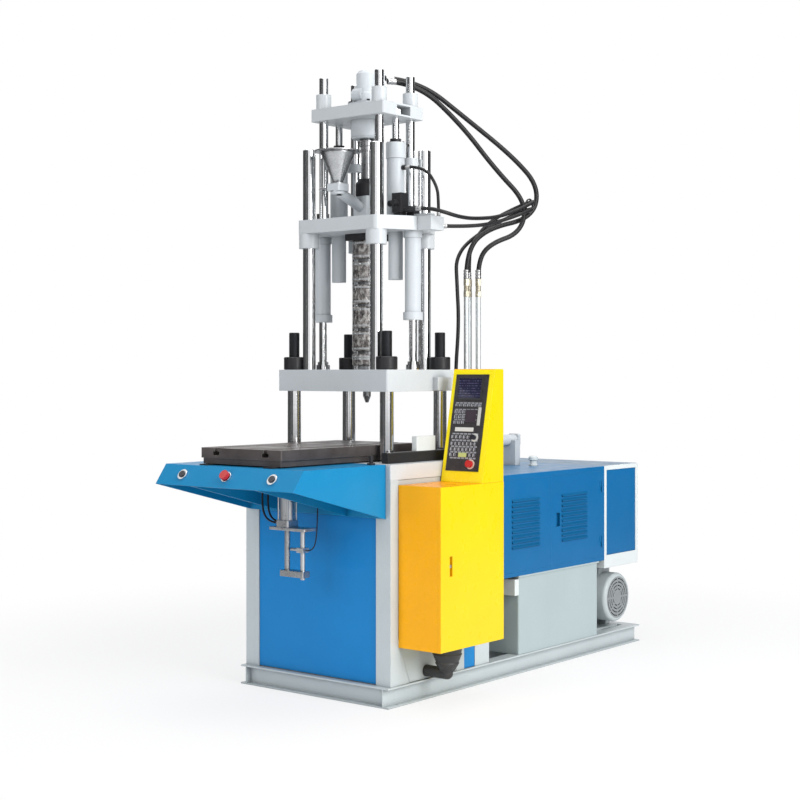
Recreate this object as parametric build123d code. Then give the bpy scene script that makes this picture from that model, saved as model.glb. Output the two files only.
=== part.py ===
from build123d import *
import math
import os

os.makedirs("parts", exist_ok=True)

# Frame: millimetres, origin on the floor at the centre of the base frame,
# +X towards the control cabinet, -Y towards the operator, +Z up.

# Clearances shared by everything that slides, turns or drops in
RUN = 0.3
SLIDE = 1.0

# Base frame of rolled I sections
BASE_W = 1000.0
BASE_L = 2430.0
BASE_H = 100.0
RAIL_W = 75.0
RAIL_FLANGE = 8.0
RAIL_WEB = 6.0
ANCHOR_D = 18.0
ANCHOR_EDGE = 17.0
ANCHOR_END = 85.0
FRONT_Y = -BASE_L / 2
BACK_Y = BASE_L / 2

# Body under the bed plate
BODY_W = 980.0
BODY_FRONT = -1185.0
BODY_L = 829.0
BODY_BACK = BODY_FRONT + BODY_L
POST_W = 92.0
FRONT_POST_D = 60.0
BACK_POST_D = 128.0
MID_POST_D = 66.0
POST_WALL = 6.0
SHEET = 3.0
PANEL_SET = 6.0
PANEL_LIP = 10.0
PANEL_GAP = 5.0
SHEET_GAP = 2.0
BED_T = 76.0
BED_TOP = 1186.0
BED_BOTTOM = BED_TOP - BED_T
SILL_H = 40.0
HEADER_H = 60.0
FOOT_W = 90.0
FOOT_H = 230.0
FOOT_T = 12.0
BLUE_BAY = 95.0

# Cantilever tray with the two-hand controls
TRAY_W = 920.0
TRAY_FRONT = -1850.0
TRAY_LEAN = 70.0
TRAY_LIP_Z = 1090.0
TRAY_ROOT_Z = 920.0
TRAY_TOP_T = 12.0
TRAY_SIDE_T = 10.0
TRAY_FRONT_T = 6.0
TRAY_RIB_X = 215.0
BUTTON_X = 300.0
BUTTON_D = 34.0
BUTTON_H = 14.0
BEZEL_D = 56.0
BEZEL_T = 8.0
STOP_D = 48.0
STOP_H = 22.0
BUTTON_TRAVEL = 4.0
STEM_D = 22.0
STEM_IN = 16.0

# Clamp unit: tie bars, moving platen and crosshead round one axis
CLAMP_Y = -779.0
BAR_DX = 632.0
BAR_DY = 444.0
BAR_D = 71.0
BAR_THREAD_D = 55.0
BAR_TOP = 1848.0
NUT_D = 110.0
NUT_H = 67.0
LOWER_NUT_H = 50.0
LOWER_NUT_D = 100.0
PLATEN_W = 743.0
PLATEN_L = 572.0
PLATEN_T = 111.0
PLATEN_Z = 1541.0
PLATEN_TOP = PLATEN_Z + PLATEN_T
BEDDED = 7.0
CLAMP_STROKE = 150.0
CROSS_W = 760.0
CROSS_L = 560.0
CROSS_T = 80.0
CROSS_Z = 560.0
CYL_D = 240.0
CYL_BORE = 180.0
CYL_FLANGE_D = 300.0
CYL_FLANGE_T = 30.0
CYL_H = 350.0
CYL_END_T = 40.0
RAM_D = 120.0
RAM_HEAD_T = 60.0
MOULD_THREAD_D = 16.0
MOULD_THREAD_DEEP = 35.0
MOULD_DX = 210.0
MOULD_DY = 210.0
BUSH_OUT_D = 86.0
BUSH_H = 60.0

# Slide table and its cylinder
TABLE_W = 540.0
TABLE_L = 1020.0
TABLE_FRONT = -1725.0
TABLE_BASE_T = 28.0
TABLE_TOP_T = 50.0
TABLE_BASE_W = 520.0
STRIP_W = 56.0
STRIP_T = 6.0
STRIP_X = 215.0
TABLE_STROKE = 615.0
TABLE_BACK = TABLE_FRONT + TABLE_L
TABLE_Z = BED_TOP + STRIP_T
TABLE_TOP = TABLE_Z + RUN + TABLE_BASE_T + TABLE_TOP_T
SLOT_W = 22.0
SLOT_DEEP = 18.0
SLOT_X = 165.0
TCYL_D = 66.0
TCYL_BORE = 50.0
TCYL_CAP = 72.0
TCYL_CAP_T = 24.0
TROD_D = 28.0
TPISTON_T = 18.0
TLUG_W = 80.0
TLUG_H = 74.0
TLUG_T = 10.0
SADDLE_W = 120.0
SADDLE_L = 50.0
TCYL_FRONT = TABLE_BACK + TABLE_STROKE + 12.0
TCYL_L = TABLE_STROKE + TPISTON_T + 2 * TCYL_CAP_T + 6.0
TCYL_Z = BED_TOP + 49.0

# Ejector under the tray
EJECT_Y = CLAMP_Y - TABLE_STROKE
EJECT_BODY = 82.0
EJECT_TUBE_D = 72.0
EJECT_BORE = 54.0
EJECT_END_Z = 871.0
EJECT_CAP_T = 34.0
EJECT_TIE_D = 9.0
EJECT_ROD_D = 28.0
EJECT_CLEAR = 7.0
EJECT_PISTON_T = 22.0
EPLATE_X0 = -84.0
EPLATE_X1 = 155.0
EPLATE_L = 92.0
EPLATE_T = 14.0
EGUIDE_X = 103.0
EGUIDE_D = 24.0
EFOOT_Z = 628.0
EFOOT_T = 30.0
EFOOT_L = 56.0
EFOOT_X0 = -28.0
EFOOT_X1 = 128.0
SENSOR_Z = 762.0
SENSOR_D = 16.0
SENSOR_HALF = 22.0

# Limit bar and stop pin beside the table
LIMIT_X = 405.0
LIMIT_W = 40.0
LIMIT_H = 54.0
LIMIT_BOX_L = 156.0
LIMIT_BOX_H = 74.0
PIN_D = 40.0
PIN_H = 44.0

# Injection unit: columns on the platen, carriage plate on the columns
COL_DX = 458.0
COL_DY = 400.0
COL_D = 68.0
COL_TOP = 2810.0
CARR_Z = 2366.0
CARR_T = 71.0
CARR_TOP = CARR_Z + CARR_T
CARR_FLAT_X = 524.0
CARR_L = 500.0
CARR_EAR_X = 365.0
CARR_EAR_L = 120.0
COL_BUSH_D = 108.0
COL_BUSH_H = 76.0
SEAT_X = 310.0
SEAT_D = 84.0
SEAT_BORE = 66.0
SEAT_BOTTOM = 1908.0
SEAT_GLAND_D = 102.0
SEAT_GLAND_H = 40.0
SEAT_FLANGE_D = 96.0
SEAT_FLANGE_H = 34.0
SEAT_ROD_D = 42.0
SEAT_FOOT_D = 74.0
SEAT_FOOT_H = 42.0
SEAT_HEAD_Z = 2105.0
SEAT_HEAD_T = 30.0
SEAT_END_T = 24.0

# Drive plate on four thin bars over the carriage
GUIDE_DX = 381.0
GUIDE_DY = 257.0
GUIDE_D = 48.0
GUIDE_TOP = 3195.0
DRIVE_W = 497.0
DRIVE_L = 334.0
DRIVE_Z = 2964.0
DRIVE_T = 65.0
DRIVE_TOP = DRIVE_Z + DRIVE_T
GUIDE_BUSH_D = 80.0
GUIDE_BUSH_H = 76.0
COLLAR_D = 84.0
COLLAR_Z = 2722.0
COLLAR_H = 42.0
INJ_X = 195.0
INJ_LOW_D = 76.0
INJ_UP_D = 94.0
INJ_BORE = 62.0
INJ_BOTTOM = 2120.0
INJ_TOP = 2832.0
INJ_HEAD_H = 82.0
INJ_HEAD_D = 102.0
INJ_ROD_D = 38.0
INJ_GLAND_D = 58.0
INJ_GLAND_H = 20.0
INJ_PISTON_Z = 2690.0
INJ_PISTON_T = 34.0
PORT_SQ = 48.0
SEAT_PORT_H = 58.0
VALVE_W = 60.0
VALVE_PORT_X = 378.0
VALVE_H = 100.0
VALVE_Z = CARR_TOP + 22.0
POCKET_L = 112.0
POCKET_H = 46.0
POCKET_X = 150.0
ROD_NUT_D = 58.0
ROD_NUT_H = 30.0
INJ_DOWN = 100.0

# Screw and barrel on the injection axis
SCREW_D = 44.0
SCREW_ROOT_D = 31.0
SHAFT_D = 60.0
BARREL_D = 100.0
BARREL_Z = 1566.0
BARREL_TOP = 2470.0
BAND_D = 153.0
BAND_ENDS = (2332.0, 2221.0, 2100.0, 1983.0, 1856.0, 1735.0, 1660.0)
BAND_GAP = 14.0
FLANGE_SQ = 170.0
NOZZLE_D = 42.0
NOZZLE_SHOULDER_Z = 1513.0
NOZZLE_TIP_Z = 1479.0
NOZZLE_TIP_D = 16.0
NOZZLE_BORE = 6.0
PLATEN_BORE = 112.0
PLATEN_WELL_D = 170.0
PLATEN_WELL_DEEP = 84.0
HOUSING_D = 168.0
HOUSING_H = 96.0
HOUSING_LIP_D = 150.0
HOUSING_LIP_H = 14.0
COUPLING_D = 84.0
COUPLING_H = 30.0
RETAINER_D = 68.0
RETAINER_H = 22.0
GLAND_D = 122.0
GLAND_Z = 2565.0
GLAND_H = 92.0
FEED_SQ = 112.0

# Hopper with its gate and slanted throat, in front of the screw
HOP_X = -15.0
HOP_Y = -216.0
HOP_TOP_Z = 2785.0
HOP_NECK_Z = 2622.0
HOP_TOP_D = 178.0
HOP_NECK_D = 52.0
HOP_RIM_D = 244.0
HOP_RIM_T = 6.0
HOP_WALL = 3.0
GATE_SQ = 84.0
GATE_Z = 2576.0
GATE_STROKE = 40.0
GATE_T = 6.0
GATE_GRIP_D = 22.0
THROAT_D = 54.0
THROAT_BORE = 44.0
THROAT_END_Z = 2488.0

# Hydraulic screw motor on the drive plate
MOTOR_D = 112.0
MOTOR_TOP = 3228.0
MOTOR_FOOT_SQ = 150.0
MOTOR_FOOT_T = 30.0
PORT_D = 74.0
PORT_Z = 3100.0
HOSE_HIGH_Z = 3203.0

# Control cabinet and operator panel
CAB_X = BODY_W / 2
CAB_W = 260.0
CAB_FRONT = -1123.0
CAB_L = 529.0
CAB_Z = 287.0
CAB_TOP = 1085.0
CAB_WALL = 4.0
DOOR_T = 18.0
LATCH_Y = 83.0
LATCH_Z = 698.0
LATCH_H = 96.0
LATCH_W = 22.0
LATCH_STEM_D = 12.0
STUD_L = 14.0
STUD_D = 14.0
CONDUIT_D = 58.0
GEAR_EDGE = 60.0
GEAR_GAP = 7.0
GEAR_PITCH = 172.0
GEAR_ROWS = ((7, 66, 84), (5, 92, 96), (4, 120, 130), (9, 46, 52))
POD_FRONT = -785.0
POD_BACK = -597.0
POD_TOP = 1655.0
POD_TOP_L = 73.0
POD_X0 = 494.0
POD_X1 = 750.0
HMI_W = 204.0
HMI_H = 496.0
HMI_T = 12.0
HMI_PROUD = 3.0
HMI_FOOT = 56.0
POD_WALL = 4.0

# Operator panel layout from the panel's middle, x to the right and z up
SCREEN_X = -7.0
SCREEN_Z = 176.0
SCREEN_W = 141.0
SCREEN_H = 104.0
SCREEN_RIM = 8.0
KEY_OUT = 3.0
KEY_PITCH = 24.0
READOUT = (18.0, 32.0, 62.0, 66.0)
SIDE_STRIP = (70.0, 32.0, 16.0, 92.0)
NAME_BAR = (-13.0, -36.0, 112.0, 19.0)
WIDE_KEY = (-6.0, -166.0, 48.0, 20.0)
KEY_ROWS = ((88.0, -76.0, 7, 16.0, 12.0), (54.0, -76.0, 3, 16.0, 16.0), (27.0, -76.0, 3, 16.0, 16.0),
            (0.0, -76.0, 3, 16.0, 16.0), (-75.0, -78.0, 5, 16.0, 16.0), (-109.0, -78.0, 7, 16.0, 16.0),
            (-138.0, -78.0, 7, 16.0, 16.0), (-166.0, -78.0, 2, 16.0, 16.0), (-166.0, 42.0, 2, 16.0, 16.0))
DIAL_AT = (58.0, 0.0, -76.0)
DIAL_D = 26.0
DIAL_H = 14.0
DIAL_RING_D = 42.0
PANEL_STOP_AT = (50.0, 0.0, -212.0)
PANEL_STOP_D = 38.0
PANEL_STOP_H = 16.0
STOP_RING_D = 50.0
KNOB_STEM_D = 14.0

# Rear power unit
TANK_W = 990.0
TANK_FRONT = -83.0
TANK_BACK = 734.0
TANK_TOP = 531.0
COVER_BACK = 803.0
COVER_TOP = 1087.0
BAY_BACK = 1193.0
BAY_Z = 482.0
BAY_BEAM = 76.0
BAY_FRAME = 26.0
LOUVRE_W = 270.0
LOUVRE_Z0 = 680.0
LOUVRE_N = 10
LOUVRE_PITCH = 28.0
LOUVRE_OUT = 9.0
HINGE_D = 8.0
KNUCKLE_H = 30.0

# Pump and its motor
PUMP_Y = 955.0
PUMP_Z = 296.0
FAN_D = 290.0
EM_D = 262.0
EM_X0 = 90.0
EM_X1 = 430.0
FAN_X1 = 500.0
EM_SHAFT_D = 38.0
EM_END_T = 22.0
FIN_N = 24
FIN_T = 4.0
BLADE_N = 9
GRILLE_R = (46, 66, 86, 106)
GRILLE_SLOT = 6.0

# Fluid lines
MAN_X1 = 454.0
MAN_FRONT = CLAMP_Y - 36
MAN_BACK = CLAMP_Y + 74
LOOP_PORT_X = 262.0
LOOP_PORT_Z = 2700.0
LINE_START = -276.0
LINE_N = 258.0
LINE_Z = 2394.0
PIPE_D = 28.0
PIPE_TOP = 2044.0
PIPE_FIT_D = 34.0
PIPE_FIT_H = 96.0
HOSE_D = 26.0
LINE_D = 20.0
LOOP_D = 16.0
EJECT_HOSE_D = 10.0
SENSOR_CABLE_D = 6.0
LINE_O = (350.0, -317.0)
LINE_DIR = (0.545, 0.839)
PIPES = ((-30.0, -5.0), (34.0, 5.0), (2.0, -48.0))
DROP_AT = (-75.0, 1216.0, -20.0)


def box(x0, x1, y0, y1, z0, z1):
    return Pos((x0 + x1) / 2, (y0 + y1) / 2, (z0 + z1) / 2) * Box(x1 - x0, y1 - y0, z1 - z0)


def rod(x, y, z0, z1, d):
    return Pos(x, y, (z0 + z1) / 2) * Cylinder(d / 2, z1 - z0)


def ring(x, y, z0, z1, d, bore):
    return rod(x, y, z0, z1, d) - rod(x, y, z0 - 1, z1 + 1, bore)


def rod_x(x0, x1, y, z, d):
    return Pos((x0 + x1) / 2, y, z) * Rot(0, 90, 0) * Cylinder(d / 2, x1 - x0)


def rod_y(x, y0, y1, z, d):
    return Pos(x, (y0 + y1) / 2, z) * Rot(90, 0, 0) * Cylinder(d / 2, y1 - y0)


def turned(points, x, y):
    """Solid of revolution about a vertical axis from (radius, z) points."""
    profile = make_face(Polyline(*[(r, 0, z) for r, z in points], close=True))
    return Pos(x, y, 0) * revolve(profile, Axis.Z)


def slab(points, z0, z1):
    """Plate with an outline in plan."""
    outline = make_face(Polyline(*points, close=True))
    return Pos(0, 0, z0) * extrude(outline, z1 - z0)


def side_profile(points, x0, x1):
    """Plate with an outline in (y, z), spanning x0 to x1."""
    outline = make_face(Polyline(*[(x0, y, z) for y, z in points], close=True))
    return extrude(outline, amount=x1 - x0, dir=(1, 0, 0))


def corners(dx, dy, y0=0.0):
    return [(sx * dx / 2, y0 + sy * dy / 2) for sx in (-1, 1) for sy in (-1, 1)]


def drill(solid, places, d, z0, z1):
    for x, y in places:
        solid -= rod(x, y, z0 - 1, z1 + 1, d)
    return solid


def round_upright(solid, r):
    return fillet(solid.edges().filter_by(Axis.Z), r)


def join(solids):
    whole = solids[0]
    for s in solids[1:]:
        whole = whole + s
    return whole


def save(name, solids):
    if isinstance(solids, (list, tuple)):
        shape = Compound(children=list(solids))
    else:
        shape = solids
    shape.label = name
    export_step(shape, "parts/" + name + ".step")


# Base frame: two I rails along Y and five I cross members
def i_beam(length):
    beam = Box(RAIL_W, length, RAIL_FLANGE)
    low = Pos(0, 0, RAIL_FLANGE / 2) * beam
    high = Pos(0, 0, BASE_H - RAIL_FLANGE / 2) * beam
    return low + high + Pos(0, 0, BASE_H / 2) * Box(RAIL_WEB, length, BASE_H)


rail_x = (BASE_W - RAIL_W) / 2
cross_ys = (FRONT_Y + RAIL_W / 2, BODY_BACK, TANK_FRONT + 60, TANK_BACK - 40, BACK_Y - RAIL_W / 2)
motor_cross_ys = (PUMP_Y - 90, PUMP_Y + 90)
base = join([Pos(s * rail_x, 0, 0) * i_beam(BASE_L) for s in (-1, 1)])
for y in cross_ys + motor_cross_ys:
    base += Pos(0, y, 0) * Rot(0, 0, 90) * i_beam(2 * rail_x)
anchor_x = BASE_W / 2 - ANCHOR_EDGE
anchor_y = BASE_L / 2 - ANCHOR_END
base = drill(base, corners(2 * anchor_x, 2 * anchor_y), ANCHOR_D, 0, RAIL_FLANGE)
save("base_frame", base)

# Body frame of welded box posts, headers, sills and feet
post_x0 = BODY_W / 2 - POST_W
mid_back = BODY_BACK - BACK_POST_D - BLUE_BAY
mid_front = mid_back - MID_POST_D


def post(sx, y0, y1):
    x0, x1 = sorted((sx * post_x0, sx * BODY_W / 2))
    wall = POST_WALL
    outer = box(x0, x1, y0, y1, BASE_H, BED_BOTTOM)
    return outer - box(x0 + wall, x1 - wall, y0 + wall, y1 - wall, BASE_H - 1, BED_BOTTOM + 1)


frame_parts = []
front_inside = BODY_FRONT + FRONT_POST_D
back_inside = BODY_BACK - BACK_POST_D
sill_and_header = ((BASE_H, BASE_H + SILL_H), (BED_BOTTOM - HEADER_H, BED_BOTTOM))
foot_outline = [(front_inside, BASE_H), (front_inside + FOOT_W, BASE_H), (front_inside, BASE_H + FOOT_H)]
for sx in (-1, 1):
    frame_parts.append(post(sx, BODY_FRONT, front_inside))
    frame_parts.append(post(sx, mid_front, mid_back))
    frame_parts.append(post(sx, back_inside, BODY_BACK))
    x0, x1 = sorted((sx * post_x0, sx * BODY_W / 2))
    for z0, z1 in sill_and_header:
        frame_parts.append(box(x0 + POST_WALL, x1 - POST_WALL - PANEL_SET, front_inside, back_inside, z0, z1))
    foot_x0, foot_x1 = sorted((sx * (BODY_W / 2 - FOOT_T), sx * BODY_W / 2))
    frame_parts.append(side_profile(foot_outline, foot_x0, foot_x1))
cross_bays = ((BODY_FRONT + PANEL_SET + PANEL_LIP, front_inside), (BODY_BACK - FRONT_POST_D, BODY_BACK))
for y0, y1 in cross_bays:
    for z0, z1 in sill_and_header:
        frame_parts.append(box(-post_x0 - 1, post_x0 + 1, y0, y1, z0, z1))
save("body_frame", join(frame_parts))

# Blue front panel: a folded sheet tray set back between the posts
panel_y = BODY_FRONT + PANEL_SET
panel_half = post_x0 - SLIDE


def folded_panel(width, height, lip):
    sheet = Pos(0, lip / 2, height / 2) * Box(width, lip, height)
    return sheet - Pos(0, lip / 2 + SHEET, height / 2) * Box(width - 2 * SHEET, lip, height - 2 * SHEET)


panel_high = BED_BOTTOM - BASE_H - 2 * PANEL_GAP
front_sheet = folded_panel(2 * panel_half, panel_high, PANEL_LIP - RUN)
front_panel = Pos(0, panel_y, BASE_H + PANEL_GAP) * front_sheet

# Side panels: grey service panels and blue end bays on both sides
grey_y0 = front_inside + RUN
grey_y1 = mid_front - RUN
blue_y0 = mid_back + RUN
blue_y1 = back_inside - RUN
side_x1 = BODY_W / 2 - PANEL_SET + RUN
side_z0 = BASE_H + SHEET_GAP
side_z1 = BED_BOTTOM - SHEET_GAP
grey_outline = [(grey_y0 + FOOT_W + 2 * SHEET_GAP, side_z0), (grey_y1, side_z0), (grey_y1, side_z1),
                (grey_y0, side_z1), (grey_y0, BASE_H + FOOT_H + 2 * SHEET_GAP)]
side_greys = []
side_blues = []
for sx in (-1, 1):
    x0, x1 = sorted((sx * (side_x1 + SHEET), sx * side_x1))
    side_greys.append(side_profile(grey_outline, x0, x1))
    side_blues.append(box(x0, x1, blue_y0, blue_y1, side_z0, side_z1))
save("body_panels", [front_panel] + side_greys + side_blues)

# Bed plate: the fixed lower platen, bored for bars, ram and lug holes
bars = corners(BAR_DX, BAR_DY, CLAMP_Y)
bed = box(-BODY_W / 2, BODY_W / 2, BODY_FRONT, BODY_BACK, BED_BOTTOM, BED_TOP)
bed = fillet(bed.edges().filter_by(Axis.Z), 6)
bed = drill(bed, bars, BAR_D + 2 * RUN, BED_BOTTOM, BED_TOP)
bushes = [ring(x, y, BED_BOTTOM - BUSH_H, BED_BOTTOM, BUSH_OUT_D, BAR_D + 2 * RUN) for x, y in bars]
save("bed_plate", [bed] + bushes)

# Tray: open-bottomed cantilever with a leaning control face
tray_top_front = TRAY_FRONT + TRAY_LEAN
tray_outline = [(BODY_FRONT, TRAY_ROOT_Z), (TRAY_FRONT, TRAY_LIP_Z), (tray_top_front, BED_TOP),
                (BODY_FRONT, BED_TOP)]
lean = TRAY_LEAN / (BED_TOP - TRAY_LIP_Z)
inner_top = BED_TOP - TRAY_TOP_T
front_skin = TRAY_FRONT_T / math.cos(math.atan(lean))
cut_below = 60.0
tray_inner = [(BODY_FRONT - TRAY_SIDE_T, TRAY_ROOT_Z - cut_below),
              (TRAY_FRONT + front_skin - cut_below * lean, TRAY_LIP_Z - cut_below),
              (tray_top_front - TRAY_TOP_T * lean + front_skin, inner_top),
              (BODY_FRONT - TRAY_SIDE_T, inner_top)]
tray = side_profile(tray_outline, -TRAY_W / 2, TRAY_W / 2)
inside_x = (-TRAY_W / 2 + TRAY_SIDE_T, -TRAY_RIB_X - TRAY_SIDE_T / 2, -TRAY_RIB_X + TRAY_SIDE_T / 2,
            TRAY_RIB_X - TRAY_SIDE_T / 2, TRAY_RIB_X + TRAY_SIDE_T / 2, TRAY_W / 2 - TRAY_SIDE_T)
for x0, x1 in zip(inside_x[0::2], inside_x[1::2]):
    tray -= side_profile(tray_inner, x0, x1)
eject_hole_d = EJECT_ROD_D + 2 * EJECT_CLEAR
tray -= rod(0, EJECT_Y, inner_top - 1, BED_TOP + 1, eject_hole_d)
face_tilt = math.degrees(math.atan(lean))
face_y = (TRAY_FRONT + tray_top_front) / 2
face_z = (TRAY_LIP_Z + BED_TOP) / 2
face_at = Pos(0, face_y, face_z) * Rot(-face_tilt, 0, 0)


def on_face(x, out0, out1, d):
    """Disc on the leaning face, between two distances out from it."""
    return face_at * Pos(x, -(out0 + out1) / 2, 0) * Rot(90, 0, 0) * Cylinder(d / 2, abs(out1 - out0))


for x in (-BUTTON_X, 0, BUTTON_X):
    tray -= on_face(x, -30, 2, STEM_D + 6)

# Two start buttons and one mushroom stop, each sprung in its own ring
rings = []
for x in (-BUTTON_X, 0, BUTTON_X):
    bore = (BUTTON_D if x else STEM_D) + 2 * RUN
    rings.append(on_face(x, 0, BEZEL_T, BEZEL_D) - on_face(x, -1, BEZEL_T + 1, bore))
save("table_tray", [tray] + rings)
for name, x in (("start_button_left", -BUTTON_X), ("start_button_right", BUTTON_X)):
    cap = on_face(x, BUTTON_TRAVEL + 0.5, BUTTON_H, BUTTON_D)
    save(name, cap + on_face(x, -STEM_IN, BUTTON_TRAVEL + 1, STEM_D))
mushroom = on_face(0, BEZEL_T + BUTTON_TRAVEL + 1, BEZEL_T + STOP_H, STOP_D)
save("stop_button", mushroom + on_face(0, -STEM_IN, BEZEL_T + BUTTON_TRAVEL + 2, STEM_D))

# Wear strips for the slide table, limit bar beside it and stop pin on the tray
strips = [box(s * STRIP_X - STRIP_W / 2, s * STRIP_X + STRIP_W / 2, tray_top_front + 20, BODY_BACK - 10,
              BED_TOP, BED_TOP + STRIP_T) for s in (-1, 1)]
limit_bar = box(LIMIT_X - LIMIT_W / 2, LIMIT_X + LIMIT_W / 2, BODY_FRONT + 60, BODY_BACK - 60,
                BED_TOP, BED_TOP + LIMIT_H)
pin_profile = [(0, BED_TOP), (PIN_D / 2, BED_TOP), (PIN_D / 2, BED_TOP + 8), (PIN_D / 4, BED_TOP + 8),
               (PIN_D / 4, BED_TOP + PIN_H), (0, BED_TOP + PIN_H)]
stop_pin = turned(pin_profile, LIMIT_X, BODY_FRONT - 45)
save("bed_rails", strips + [chamfer(limit_bar.edges().filter_by(Axis.Y), 4), stop_pin])

# Slide table: base plate and slotted mould plate
table_z0 = TABLE_Z + RUN
table_z1 = table_z0 + TABLE_BASE_T
table_base = box(-TABLE_BASE_W / 2, TABLE_BASE_W / 2, TABLE_FRONT + 8, TABLE_BACK, table_z0, table_z1)
table_base -= rod(0, EJECT_Y, table_z0 - 1, table_z1 + 1, eject_hole_d)
table_top = box(-TABLE_W / 2, TABLE_W / 2, TABLE_FRONT, TABLE_BACK, table_z1, TABLE_TOP)
table_top = chamfer(table_top.edges().filter_by(Axis.Z), 4)
for sx in (-1, 1):
    table_top -= box(sx * SLOT_X - SLOT_W / 2, sx * SLOT_X + SLOT_W / 2, TABLE_FRONT - 1, TABLE_BACK + 1,
                     TABLE_TOP - SLOT_DEEP, TABLE_TOP + 1)
    table_top -= box(sx * SLOT_X - SLOT_W, sx * SLOT_X + SLOT_W, TABLE_FRONT - 1, TABLE_BACK + 1,
                     TABLE_TOP - 2 * SLOT_DEEP, TABLE_TOP - SLOT_DEEP + 1)
table_top -= rod(0, EJECT_Y, table_z1 - 1, TABLE_TOP + 1, eject_hole_d)
mould_holes = corners(MOULD_DX, MOULD_DY, EJECT_Y)
table_top = drill(table_top, mould_holes, MOULD_THREAD_D, TABLE_TOP - MOULD_THREAD_DEEP, TABLE_TOP)
save("slide_table", [table_top, table_base])

# Table cylinder behind the table, on two saddles standing on the rear cover
tcyl_back = TCYL_FRONT + TCYL_L
tcyl = rod_y(0, TCYL_FRONT, tcyl_back, TCYL_Z, TCYL_D)
for y0 in (TCYL_FRONT, tcyl_back - TCYL_CAP_T):
    cap = box(-TCYL_CAP / 2, TCYL_CAP / 2, y0, y0 + TCYL_CAP_T, TCYL_Z - TCYL_CAP / 2, TCYL_Z + TCYL_CAP / 2)
    tcyl += chamfer(cap.edges().filter_by(Axis.Y), 8)
tcyl -= rod_y(0, TCYL_FRONT + TCYL_CAP_T, tcyl_back - TCYL_CAP_T, TCYL_Z, TCYL_BORE)
tcyl -= rod_y(0, TCYL_FRONT - 1, TCYL_FRONT + TCYL_CAP_T + 1, TCYL_Z, TROD_D + 2 * RUN)
saddles = []
for y in (TCYL_FRONT + 40, tcyl_back - 90):
    saddle = box(-SADDLE_W / 2, SADDLE_W / 2, y, y + SADDLE_L, COVER_TOP, TCYL_Z)
    saddles.append(saddle - rod_y(0, y - 1, y + SADDLE_L + 1, TCYL_Z, TCYL_D + 2 * RUN))
save("table_cylinder", [tcyl] + saddles)
piston_y = TCYL_FRONT + TCYL_CAP_T + 4
trod = rod_y(0, TABLE_BACK + TLUG_T, piston_y + 1, TCYL_Z, TROD_D)
trod += rod_y(0, piston_y, piston_y + TPISTON_T, TCYL_Z, TCYL_BORE - 2 * RUN)
trod += box(-TLUG_W / 2, TLUG_W / 2, TABLE_BACK, TABLE_BACK + TLUG_T, table_z0, table_z0 + TLUG_H)
save("table_rod", trod)

# Ejector: tie-rod cylinder under the tray, guide plate, sensor and moving rod
ecap_top_z = BED_TOP - TRAY_TOP_T
ebarrel_z = EJECT_END_Z + EJECT_CAP_T
half = EJECT_BODY / 2
ecyl = box(-half, half, EJECT_Y - half, EJECT_Y + half, ecap_top_z - EJECT_CAP_T, ecap_top_z)
ecyl += rod(0, EJECT_Y, ebarrel_z, ecap_top_z - EJECT_CAP_T, EJECT_TUBE_D)
ecyl += box(-half, half, EJECT_Y - half, EJECT_Y + half, EJECT_END_Z, ebarrel_z)
ecyl = chamfer(ecyl.edges().filter_by(Axis.Z).filter_by(lambda e: e.length < 40), 6)
for x, y in corners(EJECT_BODY - 20, EJECT_BODY - 20, EJECT_Y):
    ecyl += rod(x, y, ebarrel_z - 1, ecap_top_z - EJECT_CAP_T + 1, EJECT_TIE_D)
ecyl -= rod(0, EJECT_Y, ebarrel_z - 4, ecap_top_z - EJECT_CAP_T + 4, EJECT_BORE)
ecyl -= rod(0, EJECT_Y, EJECT_END_Z - 1, ecap_top_z + 1, EJECT_ROD_D + 2 * RUN)
eplate_z = EJECT_END_Z - EPLATE_T
eplate = box(EPLATE_X0, EPLATE_X1, EJECT_Y - EPLATE_L / 2, EJECT_Y + EPLATE_L / 2, eplate_z, EJECT_END_Z)
eplate = round_upright(eplate, 8)
eplate -= rod(0, EJECT_Y, eplate_z - 1, EJECT_END_Z + 1, EJECT_ROD_D + 4)
eguide = rod(EGUIDE_X, EJECT_Y, EFOOT_Z - 12, eplate_z, EGUIDE_D)
sensor = box(EGUIDE_X - SENSOR_HALF, EGUIDE_X + SENSOR_HALF, EJECT_Y - SENSOR_HALF, EJECT_Y + SENSOR_HALF,
             SENSOR_Z - 12, SENSOR_Z + 12)
sensor -= rod(EGUIDE_X, EJECT_Y, SENSOR_Z - 13, SENSOR_Z + 13, EGUIDE_D + 2 * RUN)
sensor += rod_x(EJECT_ROD_D / 2 + 12, EGUIDE_X - SENSOR_HALF + 1, EJECT_Y, SENSOR_Z, SENSOR_D)
save("ejector_cylinder", [ecyl, eplate, eguide, sensor])
erod = rod(0, EJECT_Y, EFOOT_Z + 2, BED_TOP - 14, EJECT_ROD_D)
erod += rod(0, EJECT_Y, ebarrel_z + 20, ebarrel_z + 20 + EJECT_PISTON_T, EJECT_BORE - 2 * RUN)
efoot = box(EFOOT_X0, EFOOT_X1, EJECT_Y - EFOOT_L / 2, EJECT_Y + EFOOT_L / 2, EFOOT_Z, EFOOT_Z + EFOOT_T)
efoot = round_upright(efoot, 6)
efoot -= rod(EGUIDE_X, EJECT_Y, EFOOT_Z - 1, EFOOT_Z + EFOOT_T + 1, EGUIDE_D + 2 * RUN)
efoot -= rod(0, EJECT_Y, EFOOT_Z + 2, EFOOT_Z + EFOOT_T + 1, EJECT_ROD_D + 2 * RUN)
save("ejector_rod", [erod, efoot])

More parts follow.
